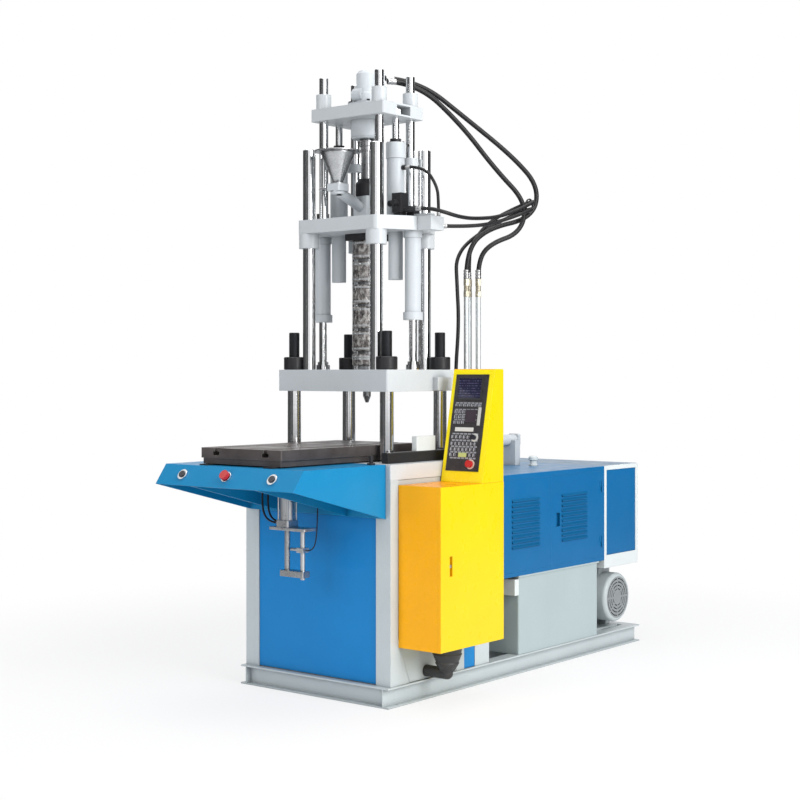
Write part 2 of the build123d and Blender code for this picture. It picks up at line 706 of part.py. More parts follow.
# Clamp: cylinder under the bed, ram, crosshead, tie bars, nuts and platen
cyl_z0 = BED_BOTTOM - CYL_H
cyl_profile = [(0, cyl_z0), (CYL_D / 2, cyl_z0), (CYL_D / 2, BED_BOTTOM - CYL_FLANGE_T),
               (CYL_FLANGE_D / 2, BED_BOTTOM - CYL_FLANGE_T), (CYL_FLANGE_D / 2, BED_BOTTOM), (0, BED_BOTTOM)]
clamp_cyl = turned(cyl_profile, 0, CLAMP_Y)
clamp_cyl -= rod(0, CLAMP_Y, cyl_z0 + CYL_END_T, BED_BOTTOM - 20, CYL_BORE)
clamp_cyl -= rod(0, CLAMP_Y, cyl_z0 - 1, cyl_z0 + CYL_END_T + 1, RAM_D + 2 * RUN)
save("clamp_cylinder", clamp_cyl)
ram_head_z = cyl_z0 + CYL_END_T + CLAMP_STROKE + 12
ram = rod(0, CLAMP_Y, CROSS_Z + CROSS_T, ram_head_z + 1, RAM_D)
ram += rod(0, CLAMP_Y, ram_head_z, ram_head_z + RAM_HEAD_T, CYL_BORE - 2 * RUN)
cross_top = CROSS_Z + CROSS_T
cross = box(-CROSS_W / 2, CROSS_W / 2, CLAMP_Y - CROSS_L / 2, CLAMP_Y + CROSS_L / 2, CROSS_Z, cross_top)
cross = chamfer(cross.edges().filter_by(Axis.Z), 40)
cross = drill(cross, bars, BAR_THREAD_D + 2 * RUN, CROSS_Z, cross_top)
save("clamp_crosshead", [cross, ram])
bar_low = CROSS_Z - LOWER_NUT_H - 20
tie_bars = []
for x, y in bars:
    bar = rod(x, y, CROSS_Z + CROSS_T, PLATEN_Z + BEDDED, BAR_D)
    bar += rod(x, y, bar_low, CROSS_Z + CROSS_T + 1, BAR_THREAD_D)
    bar += rod(x, y, PLATEN_Z + BEDDED - 1, BAR_TOP, BAR_THREAD_D)
    tie_bars.append(chamfer(bar.edges().sort_by(Axis.Z)[-1], 3))
save("tie_bars", tie_bars)


def slotted_nut(x, y, z0, h, d, bore, slots):
    nut = rod(x, y, z0, z0 + h, d) - rod(x, y, z0 - 1, z0 + h + 1, bore)
    nut = chamfer(nut.edges().filter_by(GeomType.CIRCLE).filter_by(lambda e: e.radius > d / 2 - 1), 4)
    for i in range(slots):
        nut -= Pos(x, y, z0 + h) * Rot(0, 0, 360 / slots * i) * Pos(d / 2, 0, 0) * Box(18, 14, 24)
    return nut


nut_bore = BAR_THREAD_D + 2 * RUN
upper_nuts = [slotted_nut(x, y, PLATEN_TOP, NUT_H, NUT_D, nut_bore, 4) for x, y in bars]
lower_nuts = [ring(x, y, CROSS_Z - LOWER_NUT_H, CROSS_Z, LOWER_NUT_D, nut_bore) for x, y in bars]
save("tie_bar_nuts", upper_nuts + lower_nuts)
platen_y0 = CLAMP_Y - PLATEN_L / 2
platen_y1 = CLAMP_Y + PLATEN_L / 2
platen = box(-PLATEN_W / 2, PLATEN_W / 2, platen_y0, platen_y1, PLATEN_Z, PLATEN_TOP)
platen = chamfer(platen.edges().filter_by(Axis.Z), 6)
platen = drill(platen, bars, BAR_THREAD_D + 2 * RUN, PLATEN_Z, PLATEN_TOP)
platen = drill(platen, bars, BAR_D + 2 * RUN, PLATEN_Z - 2, PLATEN_Z + BEDDED - 1)
platen -= rod(0, CLAMP_Y, PLATEN_Z - 1, PLATEN_TOP + 1, PLATEN_BORE)
platen -= rod(0, CLAMP_Y, PLATEN_TOP - PLATEN_WELL_DEEP, PLATEN_TOP + 1, PLATEN_WELL_D)
platen_holes = corners(MOULD_DX, MOULD_DY, CLAMP_Y)
platen = drill(platen, platen_holes, MOULD_THREAD_D, PLATEN_Z, PLATEN_Z + MOULD_THREAD_DEEP)
limit_x = PLATEN_W / 2
limit_block = box(limit_x, limit_x + 34, platen_y1 - 200, platen_y1 - 85, PLATEN_Z + 4, PLATEN_Z + 72)
save("upper_platen", [platen, limit_block])

# Guide columns standing on the platen
cols = corners(COL_DX, COL_DY, CLAMP_Y)
columns = [chamfer(rod(x, y, PLATEN_TOP, COL_TOP, COL_D).edges().sort_by(Axis.Z)[-1], 3) for x, y in cols]

# Carriage plate with rounded ears that carry the seat cylinders
flat_x = CARR_FLAT_X / 2
ear = CARR_EAR_L / 2
carriage_outline = [(flat_x, -CARR_L / 2), (CARR_EAR_X, -ear), (CARR_EAR_X, ear), (flat_x, CARR_L / 2),
                    (-flat_x, CARR_L / 2), (-CARR_EAR_X, ear), (-CARR_EAR_X, -ear), (-flat_x, -CARR_L / 2)]
carriage = slab([(x, y + CLAMP_Y) for x, y in carriage_outline], CARR_Z, CARR_TOP)
carriage = fillet(carriage.edges().filter_by(Axis.Z), 24)
carriage = drill(carriage, cols, COL_D + 2 * RUN, CARR_Z, CARR_TOP)
inj_places = [(-INJ_X, CLAMP_Y), (INJ_X, CLAMP_Y)]
carriage = drill(carriage, inj_places, INJ_LOW_D + 2 * RUN, CARR_Z, CARR_TOP)
carriage = drill(carriage, [(0, CLAMP_Y)], BARREL_D + 2 * RUN, CARR_Z, CARR_TOP)
column_bushes = [ring(x, y, CARR_Z - COL_BUSH_H, CARR_Z, COL_BUSH_D, COL_D + 2 * RUN) for x, y in cols]

# Seat cylinders under the ears, their rods standing on the platen
seats = [(-SEAT_X, CLAMP_Y), (SEAT_X, CLAMP_Y)]
seat_profile = [(SEAT_ROD_D / 2 + RUN, SEAT_BOTTOM), (SEAT_GLAND_D / 2, SEAT_BOTTOM),
                (SEAT_GLAND_D / 2, SEAT_BOTTOM + SEAT_GLAND_H), (SEAT_D / 2, SEAT_BOTTOM + SEAT_GLAND_H),
                (SEAT_D / 2, CARR_Z - SEAT_FLANGE_H), (SEAT_FLANGE_D / 2, CARR_Z - SEAT_FLANGE_H),
                (SEAT_FLANGE_D / 2, CARR_Z), (0, CARR_Z), (0, CARR_Z - 20), (SEAT_BORE / 2, CARR_Z - 20),
                (SEAT_BORE / 2, SEAT_BOTTOM + SEAT_END_T), (SEAT_ROD_D / 2 + RUN, SEAT_BOTTOM + SEAT_END_T)]
seat_cylinders = [turned(seat_profile, x, y) for x, y in seats]
seat_foot_z = PLATEN_TOP + SEAT_FOOT_H
seat_rod_profile = [(0, PLATEN_TOP), (SEAT_FOOT_D / 2, PLATEN_TOP), (SEAT_FOOT_D / 2, seat_foot_z - 16),
                    (SEAT_ROD_D / 2 + 8, seat_foot_z - 16), (SEAT_ROD_D / 2 + 8, seat_foot_z),
                    (SEAT_ROD_D / 2, seat_foot_z), (SEAT_ROD_D / 2, SEAT_HEAD_Z),
                    (SEAT_BORE / 2 - RUN, SEAT_HEAD_Z), (SEAT_BORE / 2 - RUN, SEAT_HEAD_Z + SEAT_HEAD_T),
                    (0, SEAT_HEAD_Z + SEAT_HEAD_T)]
save("guide_columns", columns + [turned(seat_rod_profile, x, y) for x, y in seats])

# Thin guide bars with stop collars, on the carriage
guides = corners(GUIDE_DX, GUIDE_DY, CLAMP_Y)
guide_bars = []
for x, y in guides:
    bar = rod(x, y, CARR_TOP, GUIDE_TOP, GUIDE_D)
    guide_bars.append(chamfer(bar.edges().sort_by(Axis.Z)[-1], 3))
save("guide_bars", guide_bars)
back_guides = [(x, y) for x, y in guides if y > CLAMP_Y]
collars = [ring(x, y, COLLAR_Z, COLLAR_Z + COLLAR_H, COLLAR_D, GUIDE_D + 2 * RUN) for x, y in back_guides]
save("carriage_plate", [carriage] + column_bushes + collars)

# Injection cylinders through the carriage plate, one on each side of the screw
inj_head_z = INJ_TOP - INJ_HEAD_H
inj_rod_r = INJ_ROD_D / 2 + RUN
inj_profile = [(0, INJ_BOTTOM), (INJ_LOW_D / 2, INJ_BOTTOM), (INJ_LOW_D / 2, CARR_TOP),
               (INJ_UP_D / 2, CARR_TOP), (INJ_UP_D / 2, inj_head_z), (INJ_HEAD_D / 2, inj_head_z),
               (INJ_HEAD_D / 2, INJ_TOP), (inj_rod_r, INJ_TOP), (inj_rod_r, INJ_TOP - 30),
               (INJ_BORE / 2, INJ_TOP - 30), (INJ_BORE / 2, INJ_BOTTOM + 20), (0, INJ_BOTTOM + 20)]
inj_cylinders = [turned(inj_profile, x, y) for x, y in inj_places]
save("carriage_cylinders", seat_cylinders + inj_cylinders)

# Black port blocks: rod glands, seat ports and the valve beside the right injection cylinder
gland_bore = INJ_ROD_D + 2 * RUN
glands = [ring(x, y, INJ_TOP, INJ_TOP + INJ_GLAND_H, INJ_GLAND_D, gland_bore) for x, y in inj_places]
port_half = PORT_SQ / 2
seat_ports = [box(x - port_half, x + port_half, y - port_half, y + port_half, CARR_TOP, CARR_TOP + SEAT_PORT_H)
              for x, y in seats]
valve_x0 = INJ_X + INJ_UP_D / 2 + RUN
valve_x1 = valve_x0 + VALVE_W
valve_y = CLAMP_Y - 60
valve_mid_z = VALVE_Z + VALVE_H / 2
valve = box(valve_x0, valve_x1, valve_y - VALVE_W / 2, valve_y + VALVE_W / 2, VALVE_Z, VALVE_Z + VALVE_H)
valve += rod_y((valve_x0 + valve_x1) / 2, valve_y - 58, valve_y - 29, valve_mid_z, 30)
valve += rod_x(valve_x0 - 34, valve_x0 + 1, valve_y - 8, valve_mid_z, 34)
valve += box(valve_x0 + 8, valve_x1 - 8, valve_y - 22, valve_y + 22, CARR_TOP, VALVE_Z + 1)
valve_port = (VALVE_PORT_X, valve_y, VALVE_Z + 13)
valve += rod_x(valve_x1 - 1, VALVE_PORT_X, valve_y, VALVE_Z + 13, LINE_D + 6)

# Drive plate with side pockets that hold the injection rod heads
drive_y0 = CLAMP_Y - DRIVE_L / 2
drive = box(-DRIVE_W / 2, DRIVE_W / 2, drive_y0, drive_y0 + DRIVE_L, DRIVE_Z, DRIVE_TOP)
drive = chamfer(drive.edges().filter_by(Axis.Z), 6)
drive = drill(drive, guides, GUIDE_D + 2 * RUN, DRIVE_Z, DRIVE_TOP)
pocket_z0 = DRIVE_Z + (DRIVE_T - POCKET_H) / 2
for sx in (-1, 1):
    x0, x1 = sorted((sx * POCKET_X, sx * (DRIVE_W / 2 + 1)))
    drive -= box(x0, x1, CLAMP_Y - POCKET_L / 2, CLAMP_Y + POCKET_L / 2, pocket_z0, pocket_z0 + POCKET_H)
drive = drill(drive, inj_places, INJ_ROD_D + 2 * RUN, DRIVE_Z, pocket_z0)
drive -= rod(0, CLAMP_Y, DRIVE_Z - 1, DRIVE_TOP + 1, SHAFT_D + 2 * RUN)
bush_top = DRIVE_TOP + GUIDE_BUSH_H
guide_bushes = [ring(x, y, DRIVE_TOP, bush_top, GUIDE_BUSH_D, GUIDE_D + 2 * RUN) for x, y in guides]
save("drive_plate", [drive] + guide_bushes)
inj_rods = []
for x, y in inj_places:
    stem = rod(x, y, INJ_PISTON_Z, pocket_z0 + ROD_NUT_H + 8, INJ_ROD_D)
    inj_rods.append(stem + rod(x, y, INJ_PISTON_Z - INJ_PISTON_T, INJ_PISTON_Z + 1, INJ_BORE - 2 * RUN))
nuts = []
for x, y in inj_places:
    nut = Pos(x, y, pocket_z0) * extrude(RegularPolygon(ROD_NUT_D / 2, 6), ROD_NUT_H)
    nuts.append(nut - rod(x, y, pocket_z0 - 1, pocket_z0 + ROD_NUT_H + 1, INJ_ROD_D + 2 * RUN))
save("injection_rods", inj_rods + nuts)

# Bearing housing, coupling ring, screw and gland
housing_low = DRIVE_Z - HOUSING_H
housing_bore = SHAFT_D / 2 + 6
housing_profile = [(housing_bore, DRIVE_Z), (HOUSING_D / 2, DRIVE_Z),
                   (HOUSING_D / 2, housing_low + HOUSING_LIP_H), (HOUSING_LIP_D / 2, housing_low),
                   (housing_bore, housing_low)]
housing = turned(housing_profile, 0, CLAMP_Y)
coupling_top = housing_low - 8
retainer_top = coupling_top - COUPLING_H
retainer_low = retainer_top - RETAINER_H
coupling_bore = SHAFT_D / 2 + RUN
coupling_profile = [(coupling_bore, coupling_top), (COUPLING_D / 2, coupling_top),
                    (COUPLING_D / 2, retainer_top), (RETAINER_D / 2, retainer_top),
                    (RETAINER_D / 2, retainer_low), (coupling_bore, retainer_low)]
coupling = turned(coupling_profile, 0, CLAMP_Y)
shaft_end = BARREL_TOP + INJ_DOWN + 5
screw_tip = BARREL_Z + 170.0
screw_r = SCREW_D / 2
root_r = SCREW_ROOT_D / 2
tip_r = screw_r - 3
root_top = BARREL_TOP - INJ_DOWN - 260
screw_profile = [(0, screw_tip), (4, screw_tip), (tip_r, screw_tip + 34), (tip_r, screw_tip + 44),
                 (root_r - 3, screw_tip + 44), (root_r - 3, screw_tip + 60), (screw_r, screw_tip + 60),
                 (screw_r, screw_tip + 70), (root_r, screw_tip + 70), (root_r, root_top), (screw_r, root_top),
                 (screw_r, shaft_end), (SHAFT_D / 2, shaft_end), (SHAFT_D / 2, DRIVE_TOP - 5),
                 (0, DRIVE_TOP - 5)]
save("screw", [turned(screw_profile, 0, CLAMP_Y), coupling])

# Barrel with its heater covers, flange, gland and nozzle
barrel = rod(0, CLAMP_Y, BARREL_Z, BARREL_TOP, BARREL_D)
barrel -= rod(0, CLAMP_Y, BARREL_Z + 40, BARREL_TOP + 1, SCREW_D + 2 * RUN)
barrel -= rod(0, CLAMP_Y, BARREL_Z - 1, BARREL_Z + 41, NOZZLE_BORE)
bands = []
band_r = BAND_D / 2
band_in = BARREL_D / 2 + RUN
for top, low in zip(BAND_ENDS[:-1], BAND_ENDS[1:]):
    foot = low + BAND_GAP
    band_profile = [(band_in, top), (band_r - 4, top), (band_r, top - 4), (band_r, foot + 4),
                    (band_r - 4, foot), (band_in, foot)]
    bands.append(turned(band_profile, 0, CLAMP_Y))
save("heater_covers", bands)
flange_half = FLANGE_SQ / 2
flange = box(-flange_half, flange_half, CLAMP_Y - flange_half, CLAMP_Y + flange_half, BAND_ENDS[0], CARR_Z)
flange = round_upright(flange, 10) - rod(0, CLAMP_Y, BAND_ENDS[0] - 1, CARR_Z + 1, BARREL_D + 2 * RUN)
nozzle_nut_r = NOZZLE_D / 2 + 12
nozzle_nut_z = BARREL_Z - 22
nozzle_profile = [(NOZZLE_BORE / 2, BARREL_Z), (nozzle_nut_r, BARREL_Z), (nozzle_nut_r, nozzle_nut_z),
                  (NOZZLE_D / 2, nozzle_nut_z), (NOZZLE_D / 2, NOZZLE_SHOULDER_Z),
                  (NOZZLE_TIP_D / 2 + 3, NOZZLE_TIP_Z + 8), (NOZZLE_TIP_D / 2, NOZZLE_TIP_Z),
                  (NOZZLE_BORE / 2, NOZZLE_TIP_Z)]
save("barrel", [barrel, turned(nozzle_profile, 0, CLAMP_Y)])
gland_top = GLAND_Z + GLAND_H
gland_in = SHAFT_D / 2 + RUN
gland_profile = [(gland_in, GLAND_Z), (GLAND_D / 2, GLAND_Z), (GLAND_D / 2, gland_top - 26),
                 (GLAND_D / 2 - 16, gland_top), (gland_in, gland_top)]
gland = turned(gland_profile, 0, CLAMP_Y)

# Feed block, slanted throat, gate and conical hopper
feed_half = FEED_SQ / 2
feed_front = CLAMP_Y - feed_half
feed = box(-feed_half, feed_half, feed_front, CLAMP_Y + feed_half, CARR_TOP, GLAND_Z)
feed = chamfer(feed.edges().filter_by(Axis.Z), 14)
feed -= rod(0, CLAMP_Y, BARREL_TOP - 1, GLAND_Z + 1, SHAFT_D + 2 * RUN)
feed -= rod(0, CLAMP_Y, CARR_TOP - 1, BARREL_TOP, BARREL_D + 2 * RUN)
hop_y = CLAMP_Y + HOP_Y
throat_a = Vector(HOP_X, hop_y, GATE_Z)
throat_b = Vector(0, CLAMP_Y, THROAT_END_Z)
slant = throat_b - throat_a


def throat_tube(d, back, ahead):
    start = throat_a - slant.normalized() * back
    length = slant.length + back + ahead
    return Plane(origin=start, z_dir=slant) * Pos(0, 0, length / 2) * Cylinder(d / 2, length)


feed_side = 200.0
feed_cut = box(-feed_side, feed_side, hop_y, CLAMP_Y - 10, CARR_TOP + 10, GLAND_Z)
feed -= throat_tube(THROAT_BORE, 0, -30) & feed_cut
throat_cut = box(-feed_side, feed_side, hop_y - 80, feed_front, CARR_TOP, GATE_Z)
throat = throat_tube(THROAT_D, 40, 20) & throat_cut
throat += rod(HOP_X, hop_y, GATE_Z - 16, GATE_Z, THROAT_D + 22)
throat -= throat_tube(THROAT_BORE, 40, 20)
throat -= rod(HOP_X, hop_y, GATE_Z - 24, GATE_Z + 1, THROAT_BORE)
gate_top = HOP_NECK_Z - 8
gate_x0 = HOP_X - GATE_SQ / 2
gate_x1 = HOP_X + GATE_SQ / 2
gate_body = box(gate_x0, gate_x1, hop_y - GATE_SQ / 2, hop_y + GATE_SQ / 2, GATE_Z, gate_top)
gate_body = round_upright(gate_body, 8)
gate_body -= rod(HOP_X, hop_y, GATE_Z - 1, gate_top + 1, THROAT_BORE)
slot_z0 = GATE_Z + 14
slot_z1 = slot_z0 + GATE_T
slot_half = THROAT_BORE / 2 + 6
slot_end = gate_x1 - 6
gate_body -= box(gate_x0 - 1, slot_end, hop_y - slot_half, hop_y + slot_half, slot_z0, slot_z1)
save("feed_throat", [feed, throat, gate_body])

# The gate is modelled drawn out, its round mouth clear of the throat
blade_y = slot_half - RUN
blade_x0 = gate_x0 - GATE_STROKE - 22
blade_x1 = slot_end - GATE_STROKE - 2
gate = box(blade_x0, blade_x1, hop_y - blade_y, hop_y + blade_y, slot_z0 + RUN, slot_z1 - RUN)
gate += rod_x(blade_x0 - 18, blade_x0 + 2, hop_y, (slot_z0 + slot_z1) / 2, GATE_GRIP_D)
mouth = rod(HOP_X - GATE_STROKE - 4, hop_y, slot_z0 - 1, slot_z1 + 1, THROAT_BORE)
gate -= mouth & box(HOP_X - 26, HOP_X + 100, hop_y - 60, hop_y + 60, slot_z0, slot_z1)
save("feed_gate", gate)
rt = HOP_TOP_D / 2
rn = HOP_NECK_D / 2
rim_z = HOP_TOP_Z - HOP_RIM_T
cone_top = HOP_TOP_Z - 14
hop_profile = [(rn, gate_top), (rn, HOP_NECK_Z), (rt, cone_top), (rt, rim_z), (HOP_RIM_D / 2, rim_z),
               (HOP_RIM_D / 2, HOP_TOP_Z), (rt - HOP_WALL, HOP_TOP_Z), (rt - HOP_WALL, cone_top),
               (rn - HOP_WALL, HOP_NECK_Z), (rn - HOP_WALL, gate_top)]
hopper = turned(hop_profile, HOP_X, hop_y)
hopper += ring(HOP_X, hop_y, gate_top, gate_top + 5, HOP_NECK_D + 24, HOP_NECK_D - 2)
save("hopper", hopper)

# Screw motor with foot, body, end cap and two ports towards the hose side
hose_ang = math.degrees(math.atan2(LINE_DIR[1], LINE_DIR[0]))
foot_half = MOTOR_FOOT_SQ / 2
foot_top = DRIVE_TOP + MOTOR_FOOT_T
motor = box(-foot_half, foot_half, CLAMP_Y - foot_half, CLAMP_Y + foot_half, DRIVE_TOP, foot_top)
motor = chamfer(motor.edges().filter_by(Axis.Z), 20)
motor_profile = [(0, foot_top - 1), (MOTOR_D / 2 + 6, foot_top - 1), (MOTOR_D / 2 + 6, DRIVE_TOP + 76),
                 (MOTOR_D / 2, DRIVE_TOP + 84), (MOTOR_D / 2, MOTOR_TOP - 16), (MOTOR_D / 2 - 12, MOTOR_TOP),
                 (0, MOTOR_TOP)]
motor += turned(motor_profile, 0, CLAMP_Y)
motor_at = Pos(0, CLAMP_Y, 0) * Rot(0, 0, hose_ang)
port_face = 84.0
motor += motor_at * box(30, port_face, -46, 46, HOSE_HIGH_Z - 48, HOSE_HIGH_Z + 18)
motor += Pos(-40, CLAMP_Y - 40, PORT_Z) * Rot(0, 90, 225) * Pos(0, 0, 24) * Cylinder(PORT_D / 2, 60)
save("screw_drive", [motor, housing])

# Line manifold on the right ear, with two ports along the hose direction
line_n = (LINE_DIR[1], -LINE_DIR[0])


def on_line(s, z, n):
    """Point s along the hose plane, n to its side, at height z."""
    x = LINE_O[0] + s * LINE_DIR[0] + n * line_n[0]
    y = LINE_O[1] + s * LINE_DIR[1] + n * line_n[1]
    return (x, y, z)


def line_rod(s0, s1, z, n, d):
    at = on_line((s0 + s1) / 2, z, n)
    return Pos(*at) * Rot(0, 0, hose_ang) * Rot(0, 90, 0) * Cylinder(d / 2, s1 - s0)


manifold = box(CARR_EAR_X + RUN, MAN_X1, MAN_FRONT, MAN_BACK, CARR_Z, CARR_TOP)
manifold += box(CARR_EAR_X - 40, MAN_X1 - 20, CLAMP_Y - 22, CLAMP_Y + 22, CARR_TOP, CARR_TOP + 14)
manifold += line_rod(LINE_START - 40, LINE_START, LINE_Z, LINE_N, LINE_D + 8)
loop_boss = rod_x(INJ_X + INJ_UP_D / 2 - 10, LOOP_PORT_X, CLAMP_Y, LOOP_PORT_Z, LOOP_D + 10)
loop_boss -= rod(INJ_X, CLAMP_Y, CARR_TOP, INJ_TOP, INJ_UP_D + 2 * RUN)
save("carriage_fittings", glands + seat_ports + [valve, manifold, loop_boss, flange, gland])

# Control cabinet: open-sided steel box with a hinged door on its outer face
cab_x1 = CAB_X + CAB_W
cab_back = CAB_FRONT + CAB_L
door_x0 = cab_x1 - DOOR_T
shell_x1 = door_x0 - RUN
cabinet = box(CAB_X, shell_x1, CAB_FRONT, cab_back, CAB_Z, CAB_TOP)
cabinet -= box(CAB_X + CAB_WALL, shell_x1 + 1, CAB_FRONT + CAB_WALL, cab_back - CAB_WALL,
               CAB_Z + CAB_WALL, CAB_TOP - CAB_WALL)
boot_x = CAB_X + CAB_W / 2
boot_y = CAB_FRONT + 225
cabinet -= rod(boot_x, boot_y, CAB_Z - 1, CAB_Z + CAB_WALL + 1, 60)
door_hinge_x = door_x0 + 6
door_hinge_y = cab_back + RUN + HINGE_D / 2
door_knuckles = []
for low in (CAB_Z + 90, CAB_TOP - 90 - 2 * KNUCKLE_H):
    cabinet += rod(door_hinge_x, door_hinge_y, low, low + KNUCKLE_H, HINGE_D)
    cabinet += box(shell_x1 - 24, shell_x1, cab_back - 1, cab_back + SHEET, low, low + KNUCKLE_H)
    cabinet += box(shell_x1 - 1, door_hinge_x, cab_back + RUN, cab_back + SHEET, low, low + KNUCKLE_H)
    low += KNUCKLE_H + RUN
    door_knuckles.append(rod(door_hinge_x, door_hinge_y, low, low + KNUCKLE_H, HINGE_D))
    door_knuckles.append(box(door_hinge_x, cab_x1 - 4, cab_back - 1, cab_back + SHEET, low, low + KNUCKLE_H))
save("cabinet", cabinet)

# The door is a folded tray with a well for the latch
door_rim = SHEET + 12
latch_y = CAB_FRONT + LATCH_Y
latch_dy = LATCH_W / 2
latch_dz = LATCH_H / 2
door = box(door_x0, cab_x1, CAB_FRONT, cab_back, CAB_Z, CAB_TOP)
door -= box(door_x0 - 1, cab_x1 - SHEET, CAB_FRONT + door_rim, cab_back - door_rim, CAB_Z + door_rim,
            CAB_TOP - door_rim)
door -= box(door_x0 - 1, cab_x1 + 1, latch_y - latch_dy, latch_y + latch_dy,
            LATCH_Z - latch_dz, LATCH_Z + latch_dz)
well_y = latch_dy + SHEET
well_z = latch_dz + SHEET
well = box(door_x0, cab_x1, latch_y - well_y, latch_y + well_y, LATCH_Z - well_z, LATCH_Z + well_z)
well -= box(door_x0 + SHEET, cab_x1 + 1, latch_y - latch_dy, latch_y + latch_dy,
            LATCH_Z - latch_dz, LATCH_Z + latch_dz)
door += well
door -= rod_x(door_x0 - 1, cab_x1, latch_y, LATCH_Z, LATCH_STEM_D + 2 * RUN)
door = fillet(door.edges().filter_by(Axis.Y).filter_by_position(Axis.X, cab_x1 - 0.1, cab_x1 + 0.1), 2)
for knuckle in door_knuckles:
    door += knuckle
save("cabinet_door", door)
latch_x = cab_x1 - SHEET - 3
grip = latch_dy - 4
latch = rod_x(door_x0 - 6, latch_x, latch_y, LATCH_Z, LATCH_STEM_D)
latch += box(latch_x - 1, latch_x + 3, latch_y - grip, latch_y + grip, LATCH_Z - grip, LATCH_Z + grip)
save("door_latch", latch)

# Mounting plate on four studs, with four rails of switchgear
plate_x = CAB_X + CAB_WALL + STUD_L
plate_x1 = plate_x + SHEET
plate = [box(plate_x, plate_x1, CAB_FRONT + 34, cab_back - 34, CAB_Z + 40, CAB_TOP - 40)]
for y in (CAB_FRONT + 66, cab_back - 66):
    for z in (CAB_Z + 70, CAB_TOP - 70):
        plate.append(rod_x(CAB_X + CAB_WALL, plate_x, y, z, STUD_D))
row_y0 = CAB_FRONT + GEAR_EDGE
for row, (count, depth, high) in enumerate(GEAR_ROWS):
    row_z = CAB_Z + 90 + row * GEAR_PITCH
    pitch = (CAB_L - 2 * GEAR_EDGE) / count
    mid_z = row_z + high / 2
    rail = box(plate_x1, plate_x1 + 8, row_y0 - 6, cab_back - 54, mid_z - 17, mid_z + 17)
    for i in range(count):
        y = row_y0 + i * pitch
        rail += box(plate_x1 + 7, plate_x + depth + SHEET, y, y + pitch - GEAR_GAP, row_z, row_z + high)
    plate.append(rail)
save("electrical_plate", plate)
boot_profile = [(32, 0), (78, 0), (70, -40), (74, -46), (58, -84), (60, -92), (38, -128), (32, -128)]
boot = turned([(r, CAB_Z + z) for r, z in boot_profile], boot_x, boot_y)
conduit_z = BASE_H + 42
conduit = rod(boot_x, boot_y, conduit_z, CAB_Z, CONDUIT_D)
conduit += rod_x(side_x1 + SHEET, boot_x, boot_y, conduit_z, CONDUIT_D)
conduit += Pos(boot_x, boot_y, conduit_z) * Sphere(CONDUIT_D / 2)
save("cable_boot", [boot, conduit])

# Operator pod: a wedge on the cabinet with a leaning panel
pod_z0 = CAB_TOP
pod_top_y = POD_BACK - POD_TOP_L
pod_lean = math.atan2(pod_top_y - POD_FRONT, POD_TOP - pod_z0)
pod_outline = [(POD_FRONT, pod_z0), (POD_BACK, pod_z0), (POD_BACK, POD_TOP), (pod_top_y, POD_TOP)]
pod = side_profile(pod_outline, POD_X0, POD_X1)
pod = fillet(pod.edges().filter_by(Axis.X).filter_by_position(Axis.Z, POD_TOP - 1, POD_TOP + 1), 8)
pod_in = [(POD_FRONT + 20, pod_z0 + 6), (POD_BACK - 6, pod_z0 + 6), (POD_BACK - 6, POD_TOP - 6),
          (pod_top_y + 20, POD_TOP - 6)]
pod -= side_profile(pod_in, POD_X0 + POD_WALL, POD_X1 - POD_WALL)
panel_mid_z = pod_z0 + HMI_FOOT + HMI_H / 2 * math.cos(pod_lean)
panel_mid_y = POD_FRONT + (panel_mid_z - pod_z0) * math.tan(pod_lean)
pod_mid_x = (POD_X0 + POD_X1) / 2 - 4
pod_at = Pos(pod_mid_x, panel_mid_y, panel_mid_z) * Rot(-math.degrees(pod_lean), 0, 0)
pod -= pod_at * Box(HMI_W, 40, HMI_H)
save("hmi_pod", pod)


def on_panel(x, z, w, h, out):
    """Block on the operator panel, centred at x, z from the panel's middle."""
    deep = HMI_PROUD + out
    return pod_at * Pos(x, -deep / 2, z) * Box(w, deep, h)


panel = pod_at * Pos(0, HMI_T / 2 - HMI_PROUD, 0) * Box(HMI_W - 2 * RUN, HMI_T, HMI_H - 2 * RUN)
rim_w = SCREEN_W + 2 * SCREEN_RIM
rim_h = SCREEN_H + 2 * SCREEN_RIM
screen_rim = on_panel(SCREEN_X, SCREEN_Z, rim_w, rim_h, 4)
panel += screen_rim - on_panel(SCREEN_X, SCREEN_Z, SCREEN_W, SCREEN_H, 5)
for x, z, w, h in (READOUT, SIDE_STRIP, NAME_BAR, WIDE_KEY):
    panel += on_panel(x, z, w, h, KEY_OUT)
for z, x0, count, w, h in KEY_ROWS:
    for i in range(count):
        panel += on_panel(x0 + i * KEY_PITCH, z, w, h, KEY_OUT)
dial_at = pod_at * Pos(*DIAL_AT)
panel_stop_at = pod_at * Pos(*PANEL_STOP_AT)
for at, ring_d in ((dial_at, DIAL_RING_D), (panel_stop_at, STOP_RING_D)):
    panel += at * Pos(0, -HMI_PROUD, 0) * Rot(90, 0, 0) * Cylinder(ring_d / 2, 2)
    panel -= at * Rot(90, 0, 0) * Cylinder(KNOB_STEM_D / 2 + RUN, 60)
save("hmi_panel", panel)


def knob(at, d, h, low):
    """Cap with its stem; low is the gap left under the cap for its travel."""
    face = -HMI_PROUD - low
    cap = at * Pos(0, face - h / 2, 0) * Rot(90, 0, 0) * Cylinder(d / 2, h)
    return cap + at * Pos(0, (face + 7) / 2, 0) * Rot(90, 0, 0) * Cylinder(KNOB_STEM_D / 2, 9 - face)


knob_gap = BUTTON_TRAVEL + 1.5
dial = knob(dial_at, DIAL_D, DIAL_H, knob_gap)
dial += dial_at * Pos(0, -HMI_PROUD - knob_gap - DIAL_H - 2, 0) * Box(6, 6, DIAL_D - 2)
save("hmi_dial", dial)
save("hmi_stop", knob(panel_stop_at, PANEL_STOP_D, PANEL_STOP_H, knob_gap))

